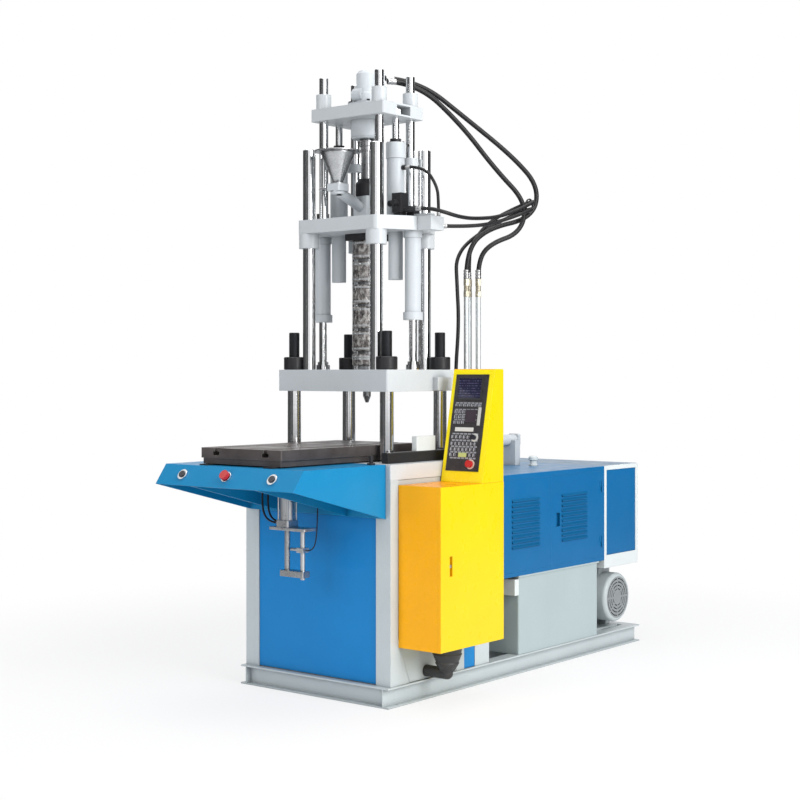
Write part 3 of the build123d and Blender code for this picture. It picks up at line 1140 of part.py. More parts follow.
# Oil tank with a flanged rim under the blue cover
tank = box(-TANK_W / 2, TANK_W / 2, TANK_FRONT, TANK_BACK, BASE_H, TANK_TOP - 10)
tank = round_upright(tank, 10)
tank += box(-TANK_W / 2 - 5, TANK_W / 2 + 5, TANK_FRONT - 8, TANK_BACK + 8, TANK_TOP - 10, TANK_TOP)
wall = 6.0
tank -= box(-TANK_W / 2 + wall, TANK_W / 2 - wall, TANK_FRONT + wall, TANK_BACK - wall,
            BASE_H + wall, TANK_TOP - wall)
save("oil_tank", tank)

# Rear cover over the tank: open-bottomed hood with two side bays
hood_x = BASE_W / 2
hood_y0 = BODY_BACK + SLIDE
hood = box(-hood_x, hood_x, hood_y0, COVER_BACK, TANK_TOP, COVER_TOP)
hood = fillet(hood.edges().filter_by(Axis.Y).filter_by_position(Axis.Z, COVER_TOP - 1, COVER_TOP + 1), 6)
hood_in = hood_x - SHEET
hood -= box(-hood_in, hood_in, hood_y0 + SHEET, COVER_BACK - SHEET, TANK_TOP - 1, COVER_TOP - SHEET)
bay_mid = (BODY_BACK + COVER_BACK) / 2
bay_gap = 14.0
bay_z0 = TANK_TOP + 24
bay_z1 = COVER_TOP - 30
bays = ((BODY_BACK + 40, bay_mid - bay_gap), (bay_mid + bay_gap, COVER_BACK - 34))
for y0, y1 in bays:
    hood -= box(hood_x - SHEET - 1, hood_x + 1, y0, y1, bay_z0, bay_z1)
hinge_x = hood_x + HINGE_D / 2
hinge_y = bays[1][1] + 1
hinge_zs = (bay_z0 + 60, bay_z1 - 60 - 2 * KNUCKLE_H)
for z in hinge_zs:
    hood += rod(hinge_x, hinge_y, z, z + KNUCKLE_H, HINGE_D)
    hood += box(hood_x - 1, hood_x + 2, hinge_y, hinge_y + 20, z, z + KNUCKLE_H)
save("rear_cover", hood)


def louvre_panel(y0, y1):
    """Blue sheet with a field of pressed louvres over open slots."""
    x1 = hood_x
    sheet = box(x1 - SHEET, x1, y0, y1, bay_z0 + RUN, bay_z1 - RUN)
    field_mid = (y0 + y1) / 2 + 30 * (1 if y0 < bay_mid - 50 else -1)
    for i in range(LOUVRE_N):
        z = LOUVRE_Z0 + i * LOUVRE_PITCH
        ya = field_mid - LOUVRE_W / 2
        yb = field_mid + LOUVRE_W / 2
        sheet -= box(x1 - SHEET - 1, x1 + 1, ya + 3, yb - 3, z + 2, z + 8)
        lip = make_face(Polyline((x1 - SHEET, ya, z + 19), (x1, ya, z + 19), (x1 + LOUVRE_OUT, ya, z + 6),
                                 (x1 + LOUVRE_OUT, ya, z + 4), (x1 - SHEET, ya, z + 15), close=True))
        sheet += extrude(lip, amount=LOUVRE_W, dir=(0, 1, 0))
    return sheet


fixed_bay, door_bay = bays
fixed_panel = louvre_panel(fixed_bay[0] + RUN, fixed_bay[1] - RUN)
ldoor = louvre_panel(door_bay[0] + RUN, door_bay[1] - RUN)
grip_y = door_bay[0] + 62
grip_z = 808.0
grip_dy = 22.0
grip_dz = 38.0
grip_x = hood_x - 20
out_dy = grip_dy + SHEET
out_dz = grip_dz + SHEET
ldoor -= box(hood_in - 1, hood_x + 1, grip_y - grip_dy, grip_y + grip_dy, grip_z - grip_dz, grip_z + grip_dz)
cup = box(grip_x, hood_x, grip_y - out_dy, grip_y + out_dy, grip_z - out_dz, grip_z + out_dz)
cup -= box(grip_x + 2, hood_x + 1, grip_y - grip_dy, grip_y + grip_dy, grip_z - grip_dz, grip_z + grip_dz)
ldoor += cup
ldoor += box(hood_x - 8, hood_x - 1, grip_y - grip_dy - 1, grip_y - 14,
             grip_z - grip_dz - 1, grip_z + grip_dz + 1)
for z in hinge_zs:
    low = z + KNUCKLE_H + RUN
    top = z + 2 * KNUCKLE_H
    ldoor += rod(hinge_x, hinge_y, low, top, HINGE_D)
    ldoor += box(hood_x - 1, hood_x + 2, hinge_y - 22, hinge_y - 1 - RUN, low, top)
    ldoor += box(hood_x + 1, hood_x + 3, hinge_y - 3, hinge_y, low, top)
save("louvre_door", ldoor)

# Rear bay overhanging the pump: white frame, blue inserts, grey beam
bay_y0 = COVER_BACK
bay = box(-hood_x, hood_x, bay_y0, BAY_BACK, BAY_Z, COVER_TOP)
bay -= box(-hood_x + SHEET, hood_x - SHEET, bay_y0 + SHEET, BAY_BACK - SHEET, BAY_Z - 1, COVER_TOP - SHEET)
insert_z0 = BAY_Z + BAY_BEAM
insert_z1 = COVER_TOP - BAY_FRAME
insert_y0 = bay_y0 + BAY_FRAME
insert_y1 = BAY_BACK - BAY_FRAME
back_x = hood_x - 2 * BAY_FRAME
inserts = [fixed_panel]
for sx in (-1, 1):
    x0, x1 = sorted((sx * (hood_x - SHEET - 1), sx * (hood_x + 1)))
    bay -= box(x0, x1, insert_y0, insert_y1, insert_z0, insert_z1)
    x0, x1 = sorted((sx * (hood_in - 2 * SHEET), sx * hood_in))
    inserts.append(box(x0, x1, insert_y0 + RUN, insert_y1 - RUN, insert_z0 + RUN, insert_z1 - RUN))
bay -= box(-back_x, back_x, BAY_BACK - SHEET - 1, BAY_BACK + 1, insert_z0, insert_z1)
inserts.append(box(-back_x + RUN, back_x - RUN, BAY_BACK - 3 * SHEET, BAY_BACK - SHEET,
                   insert_z0 + RUN, insert_z1 - RUN))
save("rear_bay", bay)
save("rear_panels", inserts)

# Pump motor along X: finned body, feet, terminal box, grilled fan cover and fan
motor_plate = box(EM_X0 + 20, EM_X1 - 10, PUMP_Y - 130, PUMP_Y + 130, BASE_H, BASE_H + 12)
em = rod_x(EM_X0, EM_X1, PUMP_Y, PUMP_Z, EM_D - 26)
em_mid = (EM_X0 + EM_X1) / 2
fin_l = EM_X1 - EM_X0 - 60
for i in range(FIN_N):
    around = Rot(360 / FIN_N * i, 0, 0)
    em += Pos(em_mid, PUMP_Y, PUMP_Z) * around * Pos(0, 0, EM_D / 2 - 12) * Box(fin_l, FIN_T, 24)
for x0 in (EM_X0, EM_X1 - EM_END_T):
    em += rod_x(x0, x0 + EM_END_T, PUMP_Y, PUMP_Z, EM_D)
for s in (-1, 1):
    y = PUMP_Y + s * 100
    web_y = y - s * 10
    em += box(EM_X0 + 50, EM_X1 - 60, y - 24, y + 24, BASE_H + 12, BASE_H + 30)
    em += box(EM_X0 + 50, EM_X1 - 60, web_y - 10, web_y + 10, BASE_H + 29, PUMP_Z - 60)
em += box(EM_X1 - 150, EM_X1 - 24, PUMP_Y - 62, PUMP_Y + 62, PUMP_Z + 110, PUMP_Z + 172)
em -= rod_x(EM_X0 - 1, EM_X1 + 1, PUMP_Y, PUMP_Z, EM_SHAFT_D + 2 * RUN)
cover_x0 = EM_X1 - 40
fan_cover = rod_x(cover_x0, FAN_X1, PUMP_Y, PUMP_Z, FAN_D)
cover_edge = fan_cover.edges().filter_by(GeomType.CIRCLE).filter_by_position(Axis.X, FAN_X1 - 1, FAN_X1 + 1)
fan_cover = fillet(cover_edge, 22)
fan_cover -= rod_x(cover_x0 - 1, FAN_X1 - SHEET, PUMP_Y, PUMP_Z, EM_D + 2 * RUN)
for r in GRILLE_R:
    outer = rod_x(FAN_X1 - 4, FAN_X1 + 1, PUMP_Y, PUMP_Z, 2 * (r + GRILLE_SLOT))
    slot = outer - rod_x(FAN_X1 - 5, FAN_X1 + 2, PUMP_Y, PUMP_Z, 2 * r)
    for k in range(4):
        slot -= Pos(FAN_X1, PUMP_Y, PUMP_Z) * Rot(45 * k, 0, 0) * Box(12, 10, FAN_D)
    fan_cover -= slot
fan_x0 = EM_X1 + 8
fan = rod_x(fan_x0, fan_x0 + 26, PUMP_Y, PUMP_Z, 70)
for i in range(BLADE_N):
    around = Rot(360 / BLADE_N * i, 0, 0)
    fan += Pos(fan_x0 + 13, PUMP_Y, PUMP_Z) * around * Pos(0, 0, 70) * Rot(0, 0, 18) * Box(4, 44, 84)
fan += rod_x(20, fan_x0 + 8, PUMP_Y, PUMP_Z, EM_SHAFT_D)
fan &= rod_x(19, FAN_X1 - 8, PUMP_Y, PUMP_Z, EM_D - 20)
save("motor_fan", fan)

# Pump on a bell housing, standing off the motor flange, with its suction pipe into the tank
bell = rod_x(-40, EM_X0, PUMP_Y, PUMP_Z, 210) - rod_x(-20, EM_X0 + 1, PUMP_Y, PUMP_Z, 170)
bell -= box(0, 60, PUMP_Y - 40, PUMP_Y + 40, PUMP_Z + 60, PUMP_Z + 140)
body = rod_x(-190, -40, PUMP_Y, PUMP_Z, 130)
body += box(-170, -70, PUMP_Y - 78, PUMP_Y + 78, PUMP_Z - 50, PUMP_Z + 50)
suction = rod_y(-120, TANK_BACK, PUMP_Y - 77, PUMP_Z, 50)
save("pump_motor", [motor_plate, em, fan_cover, bell + body + suction])

# Small boxes: limit switch box on the bed bar, junction box on the tank, tank breather
box_y0 = CLAMP_Y - 110
box_z0 = BED_TOP + LIMIT_H
limit_box = box(LIMIT_X - 17, LIMIT_X + 17, box_y0, box_y0 + LIMIT_BOX_L, box_z0, box_z0 + LIMIT_BOX_H)
limit_box = round_upright(limit_box, 4)
junction = box(TANK_W / 2 - 120, TANK_W / 2, TANK_FRONT - 40, TANK_FRONT, 426, 513)
breather_profile = [(0, 0), (26, 0), (26, 10), (20, 14), (20, 30), (28, 34), (28, 50), (20, 58), (0, 58)]
breather = turned([(r, COVER_TOP + z) for r, z in breather_profile], 160, 560)
save("service_boxes", [limit_box, junction, breather])

# Steel pipes on the rear cover, each with a flange below and a hose fitting on top
fluid_pipes = []
for s, n in PIPES:
    x, y, z = on_line(s, COVER_TOP, n)
    fit_z = PIPE_TOP + PIPE_FIT_H
    pipe = rod(x, y, z, PIPE_TOP, PIPE_D) + rod(x, y, z, z + 8, PIPE_D + 4)
    pipe += rod(x, y, PIPE_TOP - 1, fit_z, PIPE_FIT_D - 6)
    for z0, z1 in ((PIPE_TOP, PIPE_TOP + 30), (fit_z - 36, fit_z)):
        pipe += Pos(x, y, z0) * extrude(RegularPolygon(PIPE_FIT_D / 2, 6), z1 - z0)
    fluid_pipes.append(pipe)
drop_x, drop_y = on_line(*DROP_AT)[0:2]
drop_fit = rod(drop_x, drop_y, BED_TOP, DROP_AT[1], LINE_D + 4)
drop_fit += Pos(drop_x, drop_y, BED_TOP) * extrude(RegularPolygon(LINE_D / 2 + 7, 6), 16)
save("steel_pipes", fluid_pipes + [drop_fit])


def hose(name, points, d):
    """Flexible line: straight runs joined by arcs that take up most of each run."""
    steps = [Vector(*b) - Vector(*a) for a, b in zip(points[:-1], points[1:])]
    radii = []
    for a, b in zip(steps[:-1], steps[1:]):
        turn = math.radians(a.get_angle(b))
        radii.append(0.45 * min(a.length, b.length) / math.tan(turn / 2))
    path = FilletPolyline(*points, radius=radii)
    section = Plane(origin=points[0], z_dir=steps[0]) * Circle(d / 2)
    save(name, sweep(section, path=path))


# Two hoses from the screw motor to the steel pipes
hose("motor_hose_outer", [on_line(*p) for p in (
    (-470, 3203, -60), (-285, 3203, -60), (0, 3000, -50), (250, 2815, -35), (405, 2655, -30),
    (365, 2482, -26), (90, 2415, -20), (-30, 2290, -5), (-30, 2140, -5))], HOSE_D)
hose("motor_hose_inner", [on_line(*p) for p in (
    (-470, 3179, -24), (-300, 3179, -24), (-60, 2965, 0), (130, 2735, 10), (310, 2560, 20),
    (275, 2395, 22), (95, 2330, 20), (34, 2240, 5), (34, 2140, 5))], HOSE_D)

# Valve hose to the third pipe, manifold hose down to the bed
valve_start = [valve_port, (454, valve_y, 2472), (520, -800, 2452), (556, -715, 2430), (545, -560, 2432)]
hose("valve_hose", valve_start + [on_line(*p) for p in (
    (110, 2462, 170), (340, 2565, 116), (340, 2565, -104), (130, 2460, -104), (12, 2320, -55),
    (2, 2230, -48), (2, 2140, -48))], LINE_D)
hose("drop_hose", [on_line(*p) for p in (
    (LINE_START, LINE_Z, LINE_N), (-90, LINE_Z, LINE_N), (110, 2440, 180), (330, 2525, 125), (330, 2525, -125),
    (120, 2420, -145), (-68, 2280, -70), (-77, 2100, -22), (-69, 1900, -16), (-86, 1620, -28),
    (-75, 1380, -20), DROP_AT)], LINE_D)

# Short hose from the injection cylinder to the manifold, travelling with the carriage
hose("loop_hose", [(LOOP_PORT_X, CLAMP_Y, LOOP_PORT_Z), (382, -779, 2696), (458, -768, 2590), (452, -748, 2506),
                   (444, -738, CARR_TOP)], LOOP_D)

# Ejector hoses and the sensor cable, up to the underside of the tray
tray_under = BED_TOP - TRAY_TOP_T
port_x = -EJECT_BODY / 2
hose("ejector_hose_front", [
    (port_x, -1408, 888), (-98, -1408, 888), (-150, -1407, 922), (-164, -1405, 1000), (-156, -1402, 1095),
    (-156, -1402, tray_under)], EJECT_HOSE_D)
hose("ejector_hose_back", [
    (port_x, -1378, 888), (-94, -1378, 888), (-142, -1377, 924), (-154, -1374, 1003), (-145, -1370, 1097),
    (-145, -1370, tray_under)], EJECT_HOSE_D)
hose("sensor_cable", [
    (EGUIDE_X + SENSOR_HALF, EJECT_Y, SENSOR_Z), (160, -1394, 762), (184, -1390, 797), (188, -1384, 865),
    (180, -1372, 948), (175, -1358, 1030), (167, -1352, 1104), (167, -1352, tray_under)], SENSOR_CABLE_D)
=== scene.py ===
import math

import bmesh
import bpy
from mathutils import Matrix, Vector


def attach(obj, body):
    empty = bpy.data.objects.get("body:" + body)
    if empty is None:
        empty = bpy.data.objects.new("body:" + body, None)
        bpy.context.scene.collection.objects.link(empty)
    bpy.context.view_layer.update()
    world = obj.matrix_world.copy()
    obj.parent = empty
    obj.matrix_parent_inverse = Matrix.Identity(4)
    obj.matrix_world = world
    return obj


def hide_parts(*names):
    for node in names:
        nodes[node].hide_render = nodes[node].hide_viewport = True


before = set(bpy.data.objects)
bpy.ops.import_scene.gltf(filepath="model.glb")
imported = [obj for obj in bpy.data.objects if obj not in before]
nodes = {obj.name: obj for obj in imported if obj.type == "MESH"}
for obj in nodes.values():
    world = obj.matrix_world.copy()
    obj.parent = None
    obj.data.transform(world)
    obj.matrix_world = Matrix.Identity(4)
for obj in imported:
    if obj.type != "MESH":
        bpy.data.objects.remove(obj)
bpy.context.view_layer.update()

# The photograph's view: where the camera stands, its heading and its frame
CAMERA_AT = (5.126, -6.897, 1.637)
CAMERA_AZIMUTH = math.radians(38.703)
LENS_MM = 67.94
SENSOR_MM = 36.0
SHIFT_Y = -0.0343

# Places that several pieces share, in metres
CLAMP_Y = -0.779
EJECT_Y = -1.394
PLATEN_TOP = 1.652
CARR_TOP = 2.437
CYLINDER_TOP = 2.832
DRIVE_TOP = 3.029
PIPE_FITTING_Z = 2.044
TRAY_UNDER = 1.174
PUMP_Y = 0.955
PUMP_Z = 0.296

# Operator pod: front edge at foot and head, then the panel's middle on the leaning front
POD_X = 0.618
POD_FOOT_Y = -0.785
POD_HEAD_Y = -0.670
POD_FOOT_Z = 1.085
POD_HEAD_Z = 1.655
PANEL_H = 0.496
PANEL_RISE = 0.056
PANEL_LEAN = math.atan2(POD_HEAD_Y - POD_FOOT_Y, POD_HEAD_Z - POD_FOOT_Z)
PANEL_MID = PANEL_RISE + PANEL_H / 2 * math.cos(PANEL_LEAN)
PANEL_AT = (POD_X, POD_FOOT_Y + PANEL_MID * math.tan(PANEL_LEAN), POD_FOOT_Z + PANEL_MID)
KEY_PITCH = 0.024
KEY_SHIFT = 1.190
KEY_FRONT = -0.0045
SCREEN_ROW = 0.013
SCREEN_X = -0.007
SCREEN_Z = 0.176

# Printed strips between the panel's keys: height from its middle, and width of the strip
LABEL_ROWS = ((0.100, 0.006), (0.0665, 0.005), (0.0405, 0.005), (0.0135, 0.005), (-0.0585, 0.007),
              (-0.092, 0.009), (-0.1235, 0.008), (-0.152, 0.008), (-0.182, 0.008))


# Node-tree helpers

class Tree:
    """Short names for building one material's node tree."""

    def __init__(self, name):
        self.mat = bpy.data.materials.new(name)
        self.mat.use_nodes = True
        self.nodes = self.mat.node_tree.nodes
        self.links = self.mat.node_tree.links
        self.shader = self.nodes["Principled BSDF"]
        self.coord = self.nodes.new("ShaderNodeTexCoord").outputs["Object"]

    def link(self, source, target):
        self.links.new(source, target)

    def put(self, socket, value):
        """Links another socket, or sets a plain value."""
        if isinstance(value, bpy.types.NodeSocket):
            self.link(value, socket)
        else:
            socket.default_value = value

    def mapping(self, scale):
        node = self.nodes.new("ShaderNodeMapping")
        node.inputs["Scale"].default_value = scale
        self.link(self.coord, node.inputs["Vector"])
        return node.outputs["Vector"]

    def noise(self, scale, detail=4.0, rough=0.55, vector=None):
        node = self.nodes.new("ShaderNodeTexNoise")
        node.inputs["Scale"].default_value = scale
        node.inputs["Detail"].default_value = detail
        node.inputs["Roughness"].default_value = rough
        self.link(vector or self.coord, node.inputs["Vector"])
        return node.outputs["Fac"]

    def ramp(self, factor, stops):
        """Greys or colours at places along the factor."""
        node = self.nodes.new("ShaderNodeValToRGB")
        band = node.color_ramp
        while len(band.elements) < len(stops):
            band.elements.new(0.5)
        for element, (place, value) in zip(band.elements, stops):
            element.position = place
            element.color = (*value, 1) if isinstance(value, tuple) else (value, value, value, 1)
        self.link(factor, node.inputs["Fac"])
        return node.outputs["Color"]

    def mix(self, factor, a, b, blend="MIX"):
        node = self.nodes.new("ShaderNodeMix")
        node.data_type = "RGBA"
        node.blend_type = blend
        self.put(node.inputs[0], factor)
        for socket, value in ((node.inputs[6], a), (node.inputs[7], b)):
            self.put(socket, (*value, 1) if isinstance(value, tuple) else value)
        return node.outputs[2]

    def math(self, kind, a, b=0.0):
        node = self.nodes.new("ShaderNodeMath")
        node.operation = kind
        self.put(node.inputs[0], a)
        self.put(node.inputs[1], b)
        return node.outputs[0]

    def times(self, a, b):
        return self.math("MULTIPLY", a, b)

    def axes(self, vector=None):
        node = self.nodes.new("ShaderNodeSeparateXYZ")
        self.link(vector or self.coord, node.inputs[0])
        return node.outputs

    def between(self, value, low, high):
        return self.times(self.math("GREATER_THAN", value, low), self.math("LESS_THAN", value, high))

    def normal(self):
        return self.nodes.new("ShaderNodeNewGeometry").outputs["Normal"]

    def bevel_normal(self, radius):
        node = self.nodes.new("ShaderNodeBevel")
        node.samples = 4
        node.inputs["Radius"].default_value = radius
        return node.outputs["Normal"]

    def edges(self, radius):
        """1 on sharp edges within radius, 0 on flats, from a rounded normal."""
        dot = self.nodes.new("ShaderNodeVectorMath")
        dot.operation = "DOT_PRODUCT"
        self.link(self.bevel_normal(radius), dot.inputs[0])
        self.link(self.normal(), dot.inputs[1])
        return self.ramp(dot.outputs["Value"], ((0.80, 1.0), (0.985, 0.0)))

    def corners(self, distance):
        """0 in tight corners, 1 in the open."""
        node = self.nodes.new("ShaderNodeAmbientOcclusion")
        node.samples = 6
        node.inputs["Distance"].default_value = distance
        return node.outputs["AO"]

    def bump(self, height, strength, distance, soft_edge):
        """Relief from height, with edges rounded within soft_edge."""
        node = self.nodes.new("ShaderNodeBump")
        node.inputs["Strength"].default_value = strength
        node.inputs["Distance"].default_value = distance
        self.link(height, node.inputs["Height"])
        self.link(self.bevel_normal(soft_edge), node.inputs["Normal"])
        self.link(node.outputs["Normal"], self.shader.inputs["Normal"])

    def finish(self, colour, rough, metal=0.0, coat=0.0, specular=0.5):
        self.put(self.shader.inputs["Base Color"], (*colour, 1) if isinstance(colour, tuple) else colour)
        self.put(self.shader.inputs["Roughness"], rough)
        self.shader.inputs["Metallic"].default_value = metal
        self.shader.inputs["Coat Weight"].default_value = coat
        self.shader.inputs["Coat Roughness"].default_value = 0.12
        self.shader.inputs["Specular IOR Level"].default_value = specular
        return self.mat


def scaled(colour, by):
    """Colour made lighter or darker, never over 1."""
    return tuple(min(1.0, c * by) for c in colour)


def paint(name, colour, rough, edge=1.25, corner_shade_and_dirt=0.55, cast=False, front=None, top=None):
    """Sprayed machine enamel: cloudy tone, orange peel, brighter worn edges, painted shade in corners that also
    stands for soil.

    front and top multiply the colour of the faces that look that way, as painted shade and light on those faces.
    """
    t = Tree(name)
    shades = ((0.30, scaled(colour, 0.94)), (0.62, colour), (0.80, scaled(colour, 1.04)))
    cloud = t.ramp(t.noise(2.3, 5), shades)
    fleck = t.ramp(t.noise(160.0, 2), ((0.25, 0.95), (0.6, 1.0)))
    base = t.mix(1.0, cloud, fleck, "MULTIPLY")
    facing = t.axes(t.normal())
    # Painted shade and light: forward and upward faces get their colour multiplied by the given tints
    if front:
        base = t.mix(t.math("LESS_THAN", facing["Y"], -0.5), base, front, "MULTIPLY")
    if top:
        base = t.mix(t.math("GREATER_THAN", facing["Z"], 0.5), base, top, "MULTIPLY")
    streak = t.noise(7.0, 6, 0.6, t.mapping((9, 9, 0.7)))
    base = t.mix(t.ramp(streak, ((0.60, 0.0), (0.82, 0.22))), base, scaled(colour, 0.72))
    worn = t.times(t.edges(0.004), t.ramp(t.noise(24.0, 4), ((0.35, 0.15), (0.65, 0.8))))
    base = t.mix(worn, base, scaled(colour, edge))
    # Painted shade: tight corners darken by occlusion, standing also for soil
    corner_shade_and_grime = t.ramp(t.corners(0.05), ((0.25, corner_shade_and_dirt), (0.85, 0.0)))
    base = t.mix(corner_shade_and_grime, base, scaled(colour, 0.30))
    sheen = t.ramp(t.noise(11.0, 5), ((0.3, rough * 0.8), (0.7, min(1.0, rough * 1.25))))
    peel = t.noise(60.0 if cast else 420.0, 3)
    t.bump(peel, 0.35 if cast else 0.10, 0.002 if cast else 0.0006, 0.0035)
    return t.finish(base, sheen, coat=0.04, specular=0.28)


def chrome(name, thread_from=None):
    """Ground and chromed bar, with faint turning rings and, above a height, a black thread."""
    colour = (0.86, 0.87, 0.88)
    rough = 0.10
    thread_pitch = 0.006
    t = Tree(name)
    rings = t.noise(5.0, 3, 0.5, t.mapping((0.4, 0.4, 60)))
    tone = t.ramp(rings, ((0.3, scaled(colour, 0.90)), (0.7, colour)))
    sheen = t.ramp(t.noise(3.0, 3, 0.5, t.mapping((1, 1, 0.3))), ((0.3, rough * 0.85), (0.75, rough * 1.3)))
    if thread_from:
        z = t.axes()["Z"]
        up = t.math("GREATER_THAN", z, thread_from)
        tone = t.mix(up, tone, (0.030, 0.031, 0.034))
        sheen = t.mix(up, sheen, (0.42, 0.42, 0.42))
        wave = t.math("SINE", t.times(z, 2 * math.pi / thread_pitch))
        t.bump(t.times(wave, up), 0.6, 0.0012, 0.0015)
    return t.finish(tone, sheen, metal=1.0)


def pipe_metal(name, fitting_from):
    """Bright pipe with brass-coloured hose fittings above a height."""
    t = Tree(name)
    up = t.math("GREATER_THAN", t.axes()["Z"], fitting_from)
    zinc = t.ramp(t.noise(14.0, 5), ((0.35, (0.60, 0.63, 0.64)), (0.75, (0.72, 0.75, 0.76))))
    worn = t.ramp(t.noise(60.0, 4), ((0.35, (0.30, 0.27, 0.20)), (0.70, (0.56, 0.52, 0.42))))
    tone = t.mix(up, zinc, worn)
    sheen = t.mix(up, (0.42, 0.42, 0.42), (0.36, 0.36, 0.36))
    return t.finish(tone, sheen, metal=0.6)


def steel(name, colour, rough=0.34, grain=(60, 60, 2)):
    """Machined or brushed steel with grain along one way, stains and bright edges."""
    t = Tree(name)
    fine = t.noise(6.0, 6, 0.65, t.mapping(grain))
    tone = t.ramp(fine, ((0.25, scaled(colour, 0.70)), (0.55, colour), (0.85, scaled(colour, 1.20))))
    blot = t.ramp(t.noise(9.0, 6, 0.6), ((0.48, 0.0), (0.75, 0.35)))
    tone = t.mix(blot, tone, scaled(colour, 0.45))
    tone = t.mix(t.times(t.edges(0.003), 0.7), tone, scaled(colour, 1.5))
    # Painted shade: tight corners darken by occlusion, standing also for soil
    corner_shade_and_grime = t.ramp(t.corners(0.03), ((0.2, 0.6), (0.8, 0.0)))
    tone = t.mix(corner_shade_and_grime, tone, scaled(colour, 0.25))
    sheen = t.ramp(t.noise(20.0, 5), ((0.3, rough * 0.75), (0.75, min(1.0, rough * 1.4))))
    t.bump(fine, 0.12, 0.0008, 0.002)
    return t.finish(tone, sheen, metal=1.0)


def plastic(name, colour, rough, coat=0.0):
    """Moulded plastic with fine grain and slightly polished edges."""
    t = Tree(name)
    tone = t.ramp(t.noise(14.0, 4), ((0.3, scaled(colour, 0.88)), (0.7, scaled(colour, 1.06))))
    tone = t.mix(t.times(t.edges(0.0015), 0.4), tone, scaled(colour, 1.5))
    sheen = t.ramp(t.noise(30.0, 3), ((0.3, rough * 0.85), (0.7, rough * 1.2)))
    t.bump(t.noise(900.0, 2), 0.12, 0.0004, 0.001)
    return t.finish(tone, sheen, coat=coat)


def rubber(name):
    """Hose cover: dark and slightly dusty."""
    colour = (0.010, 0.010, 0.011)
    t = Tree(name)
    tone = t.ramp(t.noise(30.0, 5), ((0.35, colour), (0.75, scaled(colour, 1.6))))
    dust = t.ramp(t.noise(4.0, 4), ((0.60, 0.0), (0.90, 0.18)))
    tone = t.mix(dust, tone, (0.035, 0.034, 0.033))
    sheen = t.ramp(t.noise(12.0, 3), ((0.3, 0.40), (0.7, 0.50)))
    return t.finish(tone, sheen, specular=0.30)


def heater(name):
    """Rolled stainless cover: crumpled relief with painted bright and dark reflections along its streaks, and
    burnt patches.
    """
    t = Tree(name)
    upright = t.noise(5.0, 7, 0.7, t.mapping((12, 12, 6)))
    # Painted reflections: the tone's near black and near white streaks stand for light and shade mirrored on the
    # crumples
    tone = t.ramp(upright, ((0.32, (0.060, 0.055, 0.054)), (0.47, (0.20, 0.185, 0.18)),
                            (0.57, (0.55, 0.53, 0.51)), (0.68, (0.92, 0.91, 0.89))))
    burnt = t.ramp(t.noise(22.0, 5), ((0.50, 0.0), (0.75, 0.5)))
    tone = t.mix(burnt, tone, (0.16, 0.13, 0.11))
    sheen = t.ramp(t.noise(60.0, 4), ((0.3, 0.20), (0.7, 0.45)))
    t.bump(upright, 0.5, 0.003, 0.002)
    return t.finish(tone, sheen, metal=0.9)


def oiled_table(name):
    """Dark table steel: brown oil film, scratches along the travel, rubbed bright edges."""
    t = Tree(name)
    film = t.ramp(t.noise(5.0, 6, 0.6), ((0.3, (0.075, 0.064, 0.062)), (0.6, (0.125, 0.108, 0.105)),
                                         (0.8, (0.18, 0.165, 0.16))))
    scratch = t.ramp(t.noise(8.0, 8, 0.7, t.mapping((70, 3, 30))), ((0.60, 0.0), (0.80, 0.5)))
    tone = t.mix(scratch, film, (0.22, 0.20, 0.19))
    tone = t.mix(t.times(t.edges(0.003), 0.6), tone, (0.30, 0.28, 0.26))
    sheen = t.ramp(t.noise(7.0, 5), ((0.3, 0.30), (0.7, 0.55)))
    t.bump(t.noise(90.0, 4), 0.12, 0.0008, 0.002)
    return t.finish(tone, sheen, metal=0.55)


